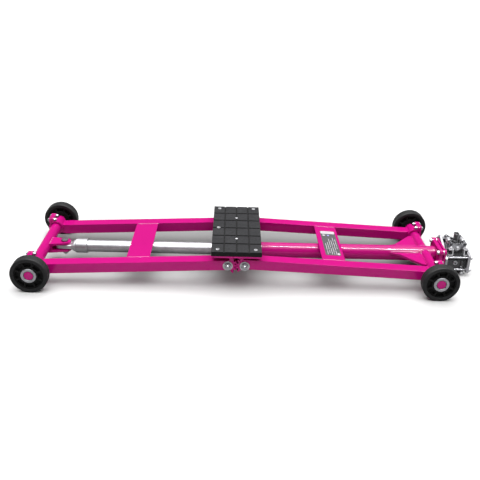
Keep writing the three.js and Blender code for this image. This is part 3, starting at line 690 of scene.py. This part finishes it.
def circlip(end, side):
    """Open spring ring in the axle's groove, with its two eyes."""
    axis = Y_AXIS * SIDES[side]
    centre = Vector((AXLE_X[end], SIDES[side] * CIRCLIP_Y, AXLE_Z))
    start = CIRCLIP_START[end]
    outline = arc(0, 0, CIRCLIP_OUTER_R, start + 14, start + 346, 40)
    outline += arc(0, 0, CIRCLIP_INNER_R, start + 346, start + 14, 40)
    bm = bmesh.new()
    prism(bm, outline, 0, 1.2, axis, centre)
    for off in (-15, 15):
        turn = math.radians(start + off)
        eye = bmesh.new()
        outline = arc(12.0 * math.cos(turn), 12.0 * math.sin(turn), 1.7, 0, 330, 11)
        prism(eye, outline, 0, 1.4, axis, centre)
        add(bm, eye)
    finish_piece(f"circlip_{end}_{side}", bm, DULL_STEEL, AXLE_BODY[end])


# ---- axles ----
AXLE_R, STUB_R = 15, 12.5
AXLE_INNER_END = 9  # of a half axle, inside the cylinder
STUB_START, AXLE_TIP = 160, 194.4
CLIP_GROOVE = 192.4


def stub_profile():
    """Outline of an axle's outer end, as distance from the middle of the jack."""
    return [
        (AXLE_R, STUB_START - 1.2), (AXLE_R - 1.2, STUB_START), (STUB_R, STUB_START),
        (STUB_R, CLIP_GROOVE), (STUB_R - 1.0, CLIP_GROOVE), (STUB_R - 1.0, CLIP_GROOVE + 1.3),
        (STUB_R, CLIP_GROOVE + 1.3), (STUB_R, AXLE_TIP - 1.0), (STUB_R - 1.0, AXLE_TIP), (0, AXLE_TIP),
    ]


def axles():
    whole = [(radius, -along) for radius, along in reversed(stub_profile())] + stub_profile()
    turned("axle_left_turned", whole, (AXLE_X["left"], 0, AXLE_Z), Y_AXIS, PINK, "free_axle",
           "axle_left")
    half = [(0, AXLE_INNER_END), (AXLE_R, AXLE_INNER_END)] + stub_profile()
    for side, outward in SIDES.items():
        turned(f"axle_right_{side}_turned", half, (AXLE_X["right"], 0, AXLE_Z), Y_AXIS * outward,
               PINK, "chassis", f"axle_right_{side}")


# ---- arms ----
TUBE_CORNER_R = 3.4
LONG_EDGE = 200  # only the tube's own edges are longer
EAR_THICK = 6.2
CAP_BOLT_R, CAP_BOLT_HEIGHT = 3.1, 24  # the height is from the axle's middle, up or down
PIVOT_HEAD_Y = 94

# The data plate, and where its columns of bars stand: how far along the arm, and their far end.
SKIN = 0.05  # how far the plate stands off what it lies on
PRINT_LIFT = 0.32
PLATE_HALF = 21.5
PLATE_COLUMNS = (-14, -6), (-8, 2), (-2, 24), (4, 14), (10, 34), (16, 22)


def rail(end, side):
    """The rectangular tube with round corners, and its gear head."""
    name = f"rail_{end}_{side}"
    bm = copy_of(name)
    soften(bm, TUBE_CORNER_R, 5, 35, keep=lambda edge: edge.calc_length() > LONG_EDGE)
    finish_piece(f"{name}_tube", bm, PINK, f"{end}_arm", name)


def refine(node, surface, body, width):
    """A CAD node with its edges rounded."""
    bm = copy_of(node)
    soften(bm, width)
    finish_piece(f"{node}_finished", bm, surface, body, node)


def ear_bolts(end, side):
    """Four bolts that hold a bearing cap, heads towards the middle of the jack."""
    way = ENDS[end]
    inner = box_of(f"bearing_housing_{end}_{side}")
    cap = box_of(f"bearing_cap_{end}_{side}")
    if way > 0:
        start = inner[1].x - EAR_THICK
        stop = cap[0].x + EAR_THICK
    else:
        start = inner[0].x + EAR_THICK
        stop = cap[1].x - EAR_THICK
    length = abs(stop - start)
    axis = X_AXIS * way
    middle_y = middle_of(f"bearing_housing_{end}_{side}").y
    washer = [(0, -0.9), (6.9, -0.9), (7.2, -0.6), (7.2, 0.0), (0, 0.0)]
    head = [(0, -7.2), (3.0, -7.2), (5.3, -6.4), (6.0, -4.6), (6.0, -0.9), (0, -0.9)]
    shank = rod_profile(CAP_BOLT_R, -1.0, length + 1)
    thread = thread_profile(CAP_BOLT_R, length + 4.0, length + 6.6, 1.1, 0.5)
    for index, (off, up) in enumerate([(-14, 1), (14, 1), (-14, -1), (14, -1)]):
        bm = bmesh.new()
        origin = Vector((start, middle_y + off, AXLE_Z + up * CAP_BOLT_HEIGHT))
        lathe(bm, washer, origin, axis, 32)
        lathe(bm, head, origin, axis, 32)
        lathe(bm, shank, origin, axis, 16)
        hex_head(bm, 10, length, length + 4.2, axis, origin, 30)
        lathe(bm, thread, origin, axis, 20)
        finish_piece(f"cap_bolt_{end}_{side}_{index}", bm, ZINC, f"{end}_arm")


def pivot_hardware(end, side):
    """Washer, nut and thread outside the rail, on the pivot bolt."""
    name = f"pivot_bolt_{end}_{side}"
    low, high = box_of(name)
    tip = max(abs(low.y), abs(high.y))
    face = box_of(f"rail_{end}_far")[1].y + 0.15
    origin = Vector(((low.x + high.x) / 2, 0, (low.z + high.z) / 2))
    axis = Y_AXIS * SIDES[side]
    washer = [(6.4, face), (13.0, face), (13.5, face + 0.5), (13.5, face + 2.0),
              (13.0, face + 2.5), (6.4, face + 2.5), (6.4, face)]
    turned(f"pivot_washer_{end}_{side}", washer, origin, axis, BRIGHT, "saddle", segments=56)
    bm = bmesh.new()
    hex_head(bm, 18, face + 2.6, tip - 4.2, axis, origin, 12)
    finish_piece(f"pivot_nut_{end}_{side}", bm, ZINC, "saddle")
    bm = bmesh.new()
    lathe(bm, thread_profile(6.0, PIVOT_HEAD_Y, tip - 0.2, 1.5, 0.6), origin, axis, 32)
    hex_head(bm, 19, PIVOT_HEAD_Y, PIVOT_HEAD_Y + 7, axis, origin)
    finish_piece(f"{name}_threaded", bm, ZINC, "saddle", name)


def cross_plate_welds(end):
    """Beads where the cross plate meets the rails."""
    low, high = box_of(f"cross_plate_{end}")
    way = ENDS[end]
    inner, outer = (low.x, high.x) if way > 0 else (high.x, low.x)
    top = high.z - 0.3
    bm = bmesh.new()
    for outward in SIDES.values():
        y = outward * high.y
        start = (inner + way * 1.5, y, top)
        stop = (outer - way * 1.5, y, top - RAIL_SLOPE * 60)
        weld_bead(bm, [start, stop], 1.5, seed=3 + outward)
    finish_piece(f"cross_plate_weld_{end}", bm, WELD, f"{end}_arm")


def plate_sheet(name, x_from, x_to, y_from, y_to, surface, lift=PRINT_LIFT):
    """A thin sheet with round corners on the right cross plate, measured from the plate's middle."""
    low, high = box_of("cross_plate_right")
    centre = Vector(((low.x + high.x) / 2 + 3, 0, 0))
    centre.z = high.z - RAIL_SLOPE * (centre.x - low.x)
    bm = bmesh.new()
    block(bm, (x_from, y_from, lift), (x_to, y_to, lift + 0.25))
    upright = [edge for edge in bm.edges if abs(edge.verts[0].co.z - edge.verts[1].co.z) > 0.1]
    round_by = min(2.0, (x_to - x_from) / 3)
    bmesh.ops.bevel(bm, geom=upright, offset=round_by, segments=4, affect="EDGES")
    turn = Matrix.Translation(centre) @ Matrix.Rotation(math.atan(RAIL_SLOPE), 4, "Y")
    bmesh.ops.transform(bm, matrix=turn, verts=bm.verts)
    finish_piece(name, bm, surface, "right_arm")


def data_plate():
    """Plain plate on the right cross plate: a light band and a few blank bars, no lettering."""
    half = PLATE_HALF
    plate_sheet("data_plate", -half, half, -81, 77, PLATE_DARK, SKIN)
    plate_sheet("data_plate_band", -half + 1, half - 1, 58, 76, PLATE_LIGHT)
    plate_sheet("data_plate_square", -half + 4, -half + 13, 44, 53, PLATE_LIGHT)
    plate_sheet("data_plate_square_small", -half + 18, -half + 25, 44, 52, PLATE_LILAC)
    plate_sheet("data_plate_badge", half - 9, half - 2, -78, -66, PLATE_LIGHT)
    rng = random.Random(5)
    for column, (x, top) in enumerate(PLATE_COLUMNS):
        y = top
        part = 0
        while y > -70:
            stop = max(y - rng.uniform(16, 58), -76)
            meets_badge = x > half - 11 and stop < -60
            if not meets_badge:
                name = f"data_plate_bar_{column}_{part}"
                plate_sheet(name, x - 0.75, x + 0.75, stop, y, PLATE_GREY)
            y = stop - rng.uniform(3, 5)
            part += 1


# ---- saddle ----
PAD_ROWS = 6
SCREW_STAND = 0.7  # of the pad screws above the rubber
ROW_GROOVE_HALF = 3.6  # half the width of the grooves between rows, at the top


def rubber_pad():
    """The pad, its top a little below the heads of the screws that hold it."""
    bm = copy_of("rubber_pad")
    low, high = box_of("rubber_pad")
    pitch = (high.y - low.y) / PAD_ROWS
    for vertex in bm.verts:
        if vertex.co.z > high.z - 0.1:
            vertex.co.z -= SCREW_STAND
            groove = low.y + pitch * round((vertex.co.y - low.y) / pitch)
            off = vertex.co.y - groove
            if low.y + 1 < groove < high.y - 1 and abs(off) < ROW_GROOVE_HALF:
                vertex.co.y = groove + math.copysign(ROW_GROOVE_HALF, off)
    soften(bm, 0.45)
    finish_piece("rubber_pad_finished", bm, PAD, "saddle", "rubber_pad")


def pad_screws():
    """Bright countersunk screws that hold the pad, and two round heads on its centre line."""
    top = box_of("rubber_pad")[1].z
    flat = [(0, -6), (3.8, -6), (3.8, -1.6), (5.0, -0.35), (4.8, -0.1), (2.2, -0.1), (1.9, -1.8),
            (0, -2.0)]
    dome = [(0, -6), (3.0, -6), (3.0, -1.6), (3.8, -1.4), (3.6, -0.6), (2.4, -0.15), (1.4, -0.05),
            (1.1, -1.0), (0, -1.0)]
    places = [(x, y, flat) for x in (-51, 51) for y in (-139, 139)]
    places += [(-51, 0, flat), (0, -70, dome), (0, 70, dome)]
    for index, (x, y, profile) in enumerate(places):
        turned(f"pad_screw_{index}", profile, (MID_X + x, y, top), Z_AXIS, BRIGHT, "saddle",
               segments=32)


# ---- ram and clevis ----
CYLINDER_R, BORE_R = 21.5, 17.9
EYE_SIDES = 40
EYE_HALF_THICK, COLLAR_R = 6.4, 18.2


def span_of(node):
    """A turned node's radius, and where it starts and ends along the ram."""
    low, high = box_of(node)
    return (high.z - low.z) / 2, low.x, high.x


def ram():
    """The cylinder and its gland, and the rod with its collar."""
    origin = Vector((0, 0, RAM_Z))

    radius, start, stop = span_of("ram_cylinder")
    wall = [(BORE_R, start), (radius - 1, start), (radius, start + 1), (radius, stop),
            (BORE_R, stop), (BORE_R, start)]
    turned("ram_cylinder_tube", wall, origin, X_AXIS, PINK, "chassis", "ram_cylinder", segments=96)

    radius, start, stop = span_of("ram_gland")
    inner = BORE_R - 0.2
    ring = [(inner, start), (radius - 1.5, start), (radius - 0.2, start + 1.3),
            (radius - 0.2, start + 3.2), (radius - 1.4, start + 3.6), (radius - 1.4, start + 5.0),
            (radius, start + 5.4), (radius, stop), (inner, stop), (inner, start)]
    turned("ram_gland_turned", ring, origin, X_AXIS, DULL_STEEL, "chassis", "ram_gland",
           segments=72)

    radius, start, stop = span_of("ram_rod")
    rod = [(0, start), (radius, start), (radius, stop - 1), (radius - 1, stop), (0, stop)]
    turned("ram_rod_polished", rod, origin, X_AXIS, CHROME, "free_axle", "ram_rod", segments=96)

    radius, start, stop = span_of("rod_collar")
    collar = [(0, start), (radius - 1.6, start), (radius - 0.4, start + 1.4), (radius, start + 2.4),
              (radius, stop - 1.0), (radius - 1.0, stop), (0, stop)]
    turned("rod_collar_turned", collar, origin, X_AXIS, CHROME, "free_axle", "rod_collar",
           segments=80)


def rod_eye():
    """Flat tongue on the clevis pin that swells into the round collar."""
    low, high = box_of("rod_eye")
    flare_start = box_of("clevis")[1].x + 1.0
    flare = high.x - flare_start
    places = [low.x + off for off in (0, 0.8, 2.4, 5, 12, 24)] + [flare_start]
    places += [flare_start + flare * share for share in (0.15, 0.3, 0.45, 0.6, 0.75, 0.9, 1)]
    angles = [2 * math.pi * side / EYE_SIDES for side in range(EYE_SIDES)]
    rings = []
    bm = bmesh.new()
    for x in places:
        share = (x - low.x) / (high.x - low.x)
        rise = max(0.0, (x - flare_start) / flare)
        smooth = rise * rise * (3 - 2 * rise)
        edge = max(0.0, 1 - (x - low.x) / 5.0)
        half_width = 13.0 + 3.0 * share - 3.2 * edge ** 2 + 2.2 * smooth
        thick = EYE_HALF_THICK - 0.7 * edge ** 3 + (COLLAR_R - EYE_HALF_THICK) * smooth
        power = 0.28 + 0.72 * smooth
        ring = []
        for angle in angles:
            c, s = math.cos(angle), math.sin(angle)
            y = half_width * math.copysign(abs(c) ** power, c)
            z = thick * math.copysign(abs(s) ** power, s)
            ring.append(bm.verts.new((x, y, RAM_Z + z)))
        rings.append(ring)
    bridge(bm, rings)
    close_ends(bm, rings)
    finish_piece("rod_eye_forged", bm, BRIGHT, "free_axle", "rod_eye", sharp=40)


def clevis_hardware():
    """The bolt that is the clevis pin, and its washer and nut underneath."""
    low, high = box_of("clevis_pin")
    origin = Vector(((low.x + high.x) / 2, 0, 0))
    washer = [(0, high.z - 6.4), (8.6, high.z - 6.4), (9.2, high.z - 5.9), (9.2, high.z - 5.2),
              (0, high.z - 5.2)]
    bm = bmesh.new()
    lathe(bm, thread_profile(6.0, low.z, high.z - 4.5, 1.75, 0.5), origin, Z_AXIS, 32)
    hex_head(bm, 18, high.z - 5.3, high.z, Z_AXIS, origin, 20)
    lathe(bm, washer, origin, Z_AXIS, 40)
    finish_piece("clevis_pin_bolt", bm, ZINC, "free_axle", "clevis_pin")
    under = box_of("clevis")[0].z
    bm = bmesh.new()
    lathe(bm, ring_profile(6.3, 9.4, under - 1.9, under - 0.2), origin, Z_AXIS, 40)
    hex_head(bm, 16, under - 8.2, under - 2.0, Z_AXIS, origin, 8)
    finish_piece("clevis_nut", bm, ZINC, "free_axle")


def clevis_weld():
    """Beads along the clevis's upper and lower edges on the axle."""
    low, high = box_of("clevis")
    bm = bmesh.new()
    for z in (high.z - 1.0, low.z + 1.0):
        reach = math.sqrt(max(1.0, AXLE_R ** 2 - (z - AXLE_Z) ** 2))
        x = AXLE_X["left"] + reach + 0.6
        weld_bead(bm, [(x, low.y + 1, z), (x, high.y - 1, z)], 1.9, seed=7)
    finish_piece("clevis_weld", bm, WELD, "free_axle")


# ---- chassis welds ----
def gusset_welds():
    """Heavy beads along the cylinder and light ones along the axle."""
    for side, outward in SIDES.items():
        low, high = box_of(f"gusset_{side}")
        top = high.z
        side_y = math.sqrt(CYLINDER_R ** 2 - (top - RAM_Z) ** 2)
        y = outward * (side_y + 1.2)
        bm = bmesh.new()
        weld_bead(bm, [(low.x + 1, y, top), (high.x - 4, y, top)], 3.8, seed=11)
        finish_piece(f"gusset_weld_{side}", bm, WELD, "chassis")
        x = AXLE_X["right"] - math.sqrt(AXLE_R ** 2 - (top - AXLE_Z) ** 2) - 0.8
        bm = bmesh.new()
        weld_bead(bm, [(x, outward * (side_y + 2), top), (x, outward * 92, top)], 1.5, seed=12)
        finish_piece(f"gusset_axle_weld_{side}", bm, PINK, "chassis")


def axle_welds():
    """Beads round the half axles where they meet the cylinder."""
    corners = 28
    for side, outward in SIDES.items():
        points = []
        for step in range(corners):
            angle = 2 * math.pi * step / corners
            x, z = AXLE_R * math.cos(angle), AXLE_Z + AXLE_R * math.sin(angle)
            y = math.sqrt(max(4.0, CYLINDER_R ** 2 - (z - RAM_Z) ** 2))
            points.append((AXLE_X["right"] + x * 1.04, outward * (y + 0.4), z))
        bm = bmesh.new()
        weld_bead(bm, points, 1.7, seed=21, closed=True)
        finish_piece(f"axle_weld_{side}", bm, WELD, "chassis")


# ---- pump ----
ROCKER_ENDS = {"front": -1, "rear": 1}
PIVOT_OF_ROCKER_Z = 78
PUMP_HALF = 38.0  # from the middle to the pump body's flat face
BRACKET_TALL = 19.0
# How far the low and the high face of each flange move along the jack.
FLANGE_SHIFTS = {"cylinder_flange": (-5.5, -1.5), "pump_flange": (1.2, 0.0)}


def flanges():
    """The ram's flange stands a little off the pump's, with the bolts' nuts between them."""
    for node, (low_by, high_by) in FLANGE_SHIFTS.items():
        middle = middle_of(node).x
        bm = copy_of(node)
        for vertex in bm.verts:
            vertex.co.x += low_by if vertex.co.x < middle else high_by
        soften(bm, 0.9)
        finish_piece(f"{node}_finished", bm, PINK, "chassis", node)


def flange_bolts():
    low_by, high_by = FLANGE_SHIFTS["cylinder_flange"]
    inner = box_of("cylinder_flange")
    outer = box_of("pump_flange")
    start = inner[0].x + low_by
    length = outer[1].x - start
    gap = (inner[1].x + high_by + outer[0].x + FLANGE_SHIFTS["pump_flange"][0]) / 2 - start
    head = [(0, -6.2), (2.4, -6.2), (5.2, -5.4), (5.8, -4.0), (5.8, -0.1), (0, -0.1)]
    for index, (y, z) in enumerate([(-40, 69), (40, 69), (-40, 23), (40, 23)]):
        origin = Vector((start, y, z))
        bm = bmesh.new()
        lathe(bm, head, origin, X_AXIS, 32)
        lathe(bm, rod_profile(3.2, -1, length), origin, X_AXIS, 20)
        lathe(bm, ring_profile(3.1, 7.2, gap - 1.3, gap + 1.3), origin, X_AXIS, 28)
        finish_piece(f"flange_bolt_{index}", bm, BRIGHT, "chassis")


def post_with_coil(bm, place, low, high, radius):
    """An upright post with a wide foot, coils round it and a cap."""
    height = high - low
    core_r = radius * 0.62
    profile = [(0, 0), (radius * 1.25, 0), (radius * 1.25, height * 0.16),
               (radius * 0.8, height * 0.2)]
    for coil in range(3):
        start = height * (0.24 + 0.18 * coil)
        end = start + height * 0.11
        profile += [(core_r, start), (radius, start + 0.5), (radius, end - 0.5), (core_r, end)]
    profile += [(radius * 0.8, height * 0.8), (radius * 1.2, height * 0.84),
                (radius * 1.2, height - 0.8), (radius * 0.9, height), (0, height)]
    lathe(bm, profile, (place[0], place[1], low), Z_AXIS, 28)


def rounded_block(bm, corner, opposite, width=0.6):
    part = bmesh.new()
    block(part, corner, opposite)
    soften(part, width, angle=50)
    add(bm, part)


def valve_bracket(label, middle, way, face, back, top):
    """A square C bracket, open away from the rocker."""
    inner = middle + way * 14.5
    outer = middle + way * 27.5
    bm = bmesh.new()
    for low_z, high_z in ((top - 1.5, top + 2.2), (top + 15.6, top + BRACKET_TALL)):
        rounded_block(bm, (inner, face, low_z), (outer, back, high_z))
    rounded_block(bm, (inner, face, top), (inner + way * 3.6, back, top + 17))
    finish_piece(f"valve_bracket_{label}", bm, BRIGHT, "chassis")


def valve_post(label, x, way, y, top):
    """The coil spring in a bracket, and the nut above it."""
    bm = bmesh.new()
    post_with_coil(bm, (x + way * 1.4, y), top + 2.2, top + 15.6, 4.4)
    finish_piece(f"valve_spring_{label}", bm, DULL_STEEL, "chassis")
    origin = (x, y, top + BRACKET_TALL)
    bm = bmesh.new()
    hex_head(bm, 8, 0, 3.4, Z_AXIS, origin)
    lathe(bm, [(0, 3.3), (2.2, 3.3), (2.2, 5.4), (1.7, 5.9), (0, 5.9)], origin, Z_AXIS, 20)
    finish_piece(f"valve_nut_{label}", bm, BRIGHT, "chassis")


def pump_brackets():
    """Brackets either side of the rocker, each with a coil spring on its post."""
    low, high = box_of("pump_body")
    middle = (low.x + high.x) / 2
    for side, outward in SIDES.items():
        face = outward * abs(low.y)
        for name, way in ROCKER_ENDS.items():
            label = f"{name}_{side}"
            valve_bracket(label, middle, way, face, face - outward * 12, high.z)
            valve_post(label, middle + way * 21, way, face - outward * 5.5, high.z)


def pump_fins():
    """Cooling fins that stand on the pump body between the brackets."""
    low, high = box_of("pump_body")
    middle = (low.x + high.x) / 2
    count = 5
    for side, outward in SIDES.items():
        front = outward * (PUMP_HALF + 0.9)
        back = outward * (PUMP_HALF - 9)
        bm = bmesh.new()
        for fin in range(count):
            x = middle + (fin - (count - 1) / 2) * 5.2
            rounded_block(bm, (x - 1.1, front, high.z - 9), (x + 1.1, back, high.z + 4.2), 0.4)
        finish_piece(f"pump_fins_{side}", bm, DULL_STEEL, "chassis")


def pump_ribs():
    """Ledges and upright ribs on the pump body's faces."""
    low, high = box_of("pump_body")
    ledges = (high.z - 1.6, 2.0), (44.0, 1.8), (low.z + 13.0, 1.6)
    ribs = (low.x + 2.5, 3.2), (low.x + 9, 1.6), (high.x - 4, 3.0)
    for side, outward in SIDES.items():
        back = outward * (PUMP_HALF - 1.5)
        bm = bmesh.new()
        for z, tall in ledges:
            front = outward * (PUMP_HALF + 1.2)
            rounded_block(bm, (low.x + 1, front, z), (high.x - 1, back, z + tall), 0.5)
        for x, wide in ribs:
            front = outward * (PUMP_HALF + 1.6)
            rounded_block(bm, (x, front, 24), (x + wide, back, 46), 0.5)
        finish_piece(f"pump_ribs_{side}", bm, DULL_STEEL, "chassis")


def pump_barrels():
    """The raised barrel and the port's ring on each face of the pump body."""
    low, high = box_of("pump_body")
    middle = (low.x + high.x) / 2
    barrel = [(0, 21.4), (5.2, 21.4), (6.0, 22.2), (6.0, 25.5), (5.3, 26.2), (5.3, 39.4),
              (6.0, 40.2), (6.0, 43.6), (5.2, 44.6), (0, 44.6)]
    port = [(2.9, -1), (6.6, -1), (6.6, 2.0), (5.6, 2.8), (3.9, 2.8), (2.9, 1.8), (2.9, -1)]
    for side, outward in SIDES.items():
        turned(f"pump_barrel_{side}", barrel, (middle + 16.6, outward * (PUMP_HALF - 1), 0), Z_AXIS,
               DULL_STEEL, "chassis", segments=32)
        turned(f"port_ring_{side}", port, (middle - 3, outward * PUMP_HALF, 37), Y_AXIS * outward,
               BRIGHT, "chassis", segments=36)


def pump_nuts():
    """Nuts and washers where the tie rods pass the end plate."""
    face = box_of("pump_end_plate")[1].x
    for side in SIDES:
        for height in ("low", "high"):
            low, high = box_of(f"tie_rod_{side}_{height}")
            origin = (face, (low.y + high.y) / 2, (low.z + high.z) / 2)
            bm = bmesh.new()
            lathe(bm, ring_profile(3.1, 6.2, 0.1, 1.2), origin, X_AXIS, 32)
            hex_head(bm, 10.4, 1.2, 6.0, X_AXIS, origin, 12)
            lathe(bm, thread_profile(3.0, 5.5, high.x - face, 1.0, 0.5), origin, X_AXIS, 20)
            finish_piece(f"tie_nut_{side}_{height}", bm, BRIGHT, "chassis")


def front_plate_bolt():
    """A bolt through the front plate's far upper corner."""
    corner = (box_of("pump_front_plate")[0].x, 43.0, 78.0)
    shank = [(0, -5.6), (1.9, -5.6), (2.3, -5.0), (2.3, 9.5), (1.9, 10), (0, 10)]
    bm = bmesh.new()
    hex_head(bm, 8, -3.6, -0.1, X_AXIS, corner)
    lathe(bm, shank, corner, X_AXIS, 20)
    hex_head(bm, 8, 6.7, 9.6, X_AXIS, corner, 20)
    finish_piece("front_plate_corner_bolt", bm, BLACK, "chassis")


def rocker_hardware():
    """Rollers, shaft nuts and a return spring on the pump's rocker."""
    low, high = box_of("pump_rocker")
    middle = (low.x + high.x) / 2
    reach = (high.x - low.x) / 2 - 5.6
    tip_z = high.z - 5.6
    roller = [(4.1, -9), (6.0, -9), (6.6, -8.2), (6.6, 8.2), (6.0, 9), (4.1, 9), (4.1, -9)]
    head = [(0, 26.9), (4.4, 26.9), (4.4, 28.2), (3.6, 29.0), (2.2, 29.0), (1.9, 28.0), (0, 28.0)]
    for name, way in ROCKER_ENDS.items():
        place = (middle + way * reach, 0, tip_z)
        turned(f"rocker_roller_{name}", roller, place, Y_AXIS, BRIGHT, "rocker", segments=36)
        for side, outward in SIDES.items():
            turned(f"roller_pin_head_{name}_{side}", head, place, Y_AXIS * outward, DARK_STEEL,
                   "rocker", segments=30)
    origin = (middle, 0, PIVOT_OF_ROCKER_Z)
    for side, outward in SIDES.items():
        bm = bmesh.new()
        lathe(bm, rod_profile(6.6, 26.8, 27.8), origin, Y_AXIS * outward, 32)
        hex_head(bm, 9, 27.8, 31.2, Y_AXIS * outward, origin, 8)
        finish_piece(f"rocker_shaft_nut_{side}", bm, BRIGHT, "rocker")
    return_spring(middle, tip_z + 1)


def return_spring(middle, z):
    """A row of coils on a rod, beside the rocker's shaft."""
    y = 14
    bm = bmesh.new()
    for coil in range(9):
        x = middle - 21 + coil * 1.9
        lathe(bm, ring_profile(2.6, 3.4, -0.7, 0.7), (x, y, z), X_AXIS, 20)
    lathe(bm, rod_profile(1.0, -12, 12), (middle - 14, y, z), X_AXIS, 12)
    finish_piece("rocker_return_spring", bm, DARK_STEEL, "rocker")


def lever_cup():
    """The black cup for the handle, with a rolled lip and a collar."""
    low, high = box_of("lever_socket")
    middle = (low + high) / 2
    outer = (high.x - low.x) / 2
    neck = outer - 0.8
    lip = outer - 0.1
    profile = [(0, low.z), (outer, low.z), (outer, low.z + 5), (neck, low.z + 6),
               (neck, high.z - 4.4), (lip, high.z - 3.8), (lip, high.z - 0.6),
               (outer - 0.7, high.z), (5.9, high.z), (5.4, high.z - 0.6), (5.4, low.z + 5.2),
               (0, low.z + 5.2)]
    turned("lever_socket_turned", profile, (middle.x, middle.y, 0), Z_AXIS, BLACK, "rocker",
           "lever_socket", segments=48)


def build():
    add_camera()
    add_lights()
    add_floor()
    for end in ENDS:
        for side in SIDES:
            tyre(end, side)
            core(end, side)
            bearing_ring(end, side)
            circlip(end, side)
            rail(end, side)
            refine(f"bearing_housing_{end}_{side}", PINK, f"{end}_arm", 0.8)
            refine(f"bearing_cap_{end}_{side}", PINK, f"{end}_arm", 0.8)
            ear_bolts(end, side)
            pivot_hardware(end, side)
        refine(f"cross_plate_{end}", PINK, f"{end}_arm", 0.5)
        cross_plate_welds(end)
    data_plate()
    axles()
    refine("saddle_plate", PINK, "saddle", 0.8)
    rubber_pad()
    for side in SIDES:
        refine(f"saddle_cheek_{side}", PINK, "saddle", 0.8)
        refine(f"gusset_{side}", PINK, "chassis", 0.8)
    pad_screws()
    ram()
    rod_eye()
    refine("clevis", PINK, "free_axle", 1.0)
    clevis_hardware()
    clevis_weld()
    gusset_welds()
    axle_welds()
    flanges()
    for node in ("pump_front_plate", "pump_end_plate", "valve_block"):
        refine(node, ALUMINIUM, "chassis", 0.7)
    refine("pump_body", BLACK, "chassis", 0.8)
    refine("port_plug", ZINC, "chassis", 0.4)
    refine("pump_rocker", ZINC, "rocker", 0.6)
    lever_cup()
    refine("plunger_front", ZINC, "plunger_front", 0.4)
    refine("plunger_rear", ZINC, "plunger_rear", 0.4)
    refine("release_screw", BRIGHT, "release", 0.4)
    for side in SIDES:
        for height in ("low", "high"):
            refine(f"tie_rod_{side}_{height}", ZINC, "chassis", 0.3)
    flange_bolts()
    pump_brackets()
    pump_fins()
    pump_ribs()
    pump_barrels()
    pump_nuts()
    front_plate_bolt()
    rocker_hardware()


build()
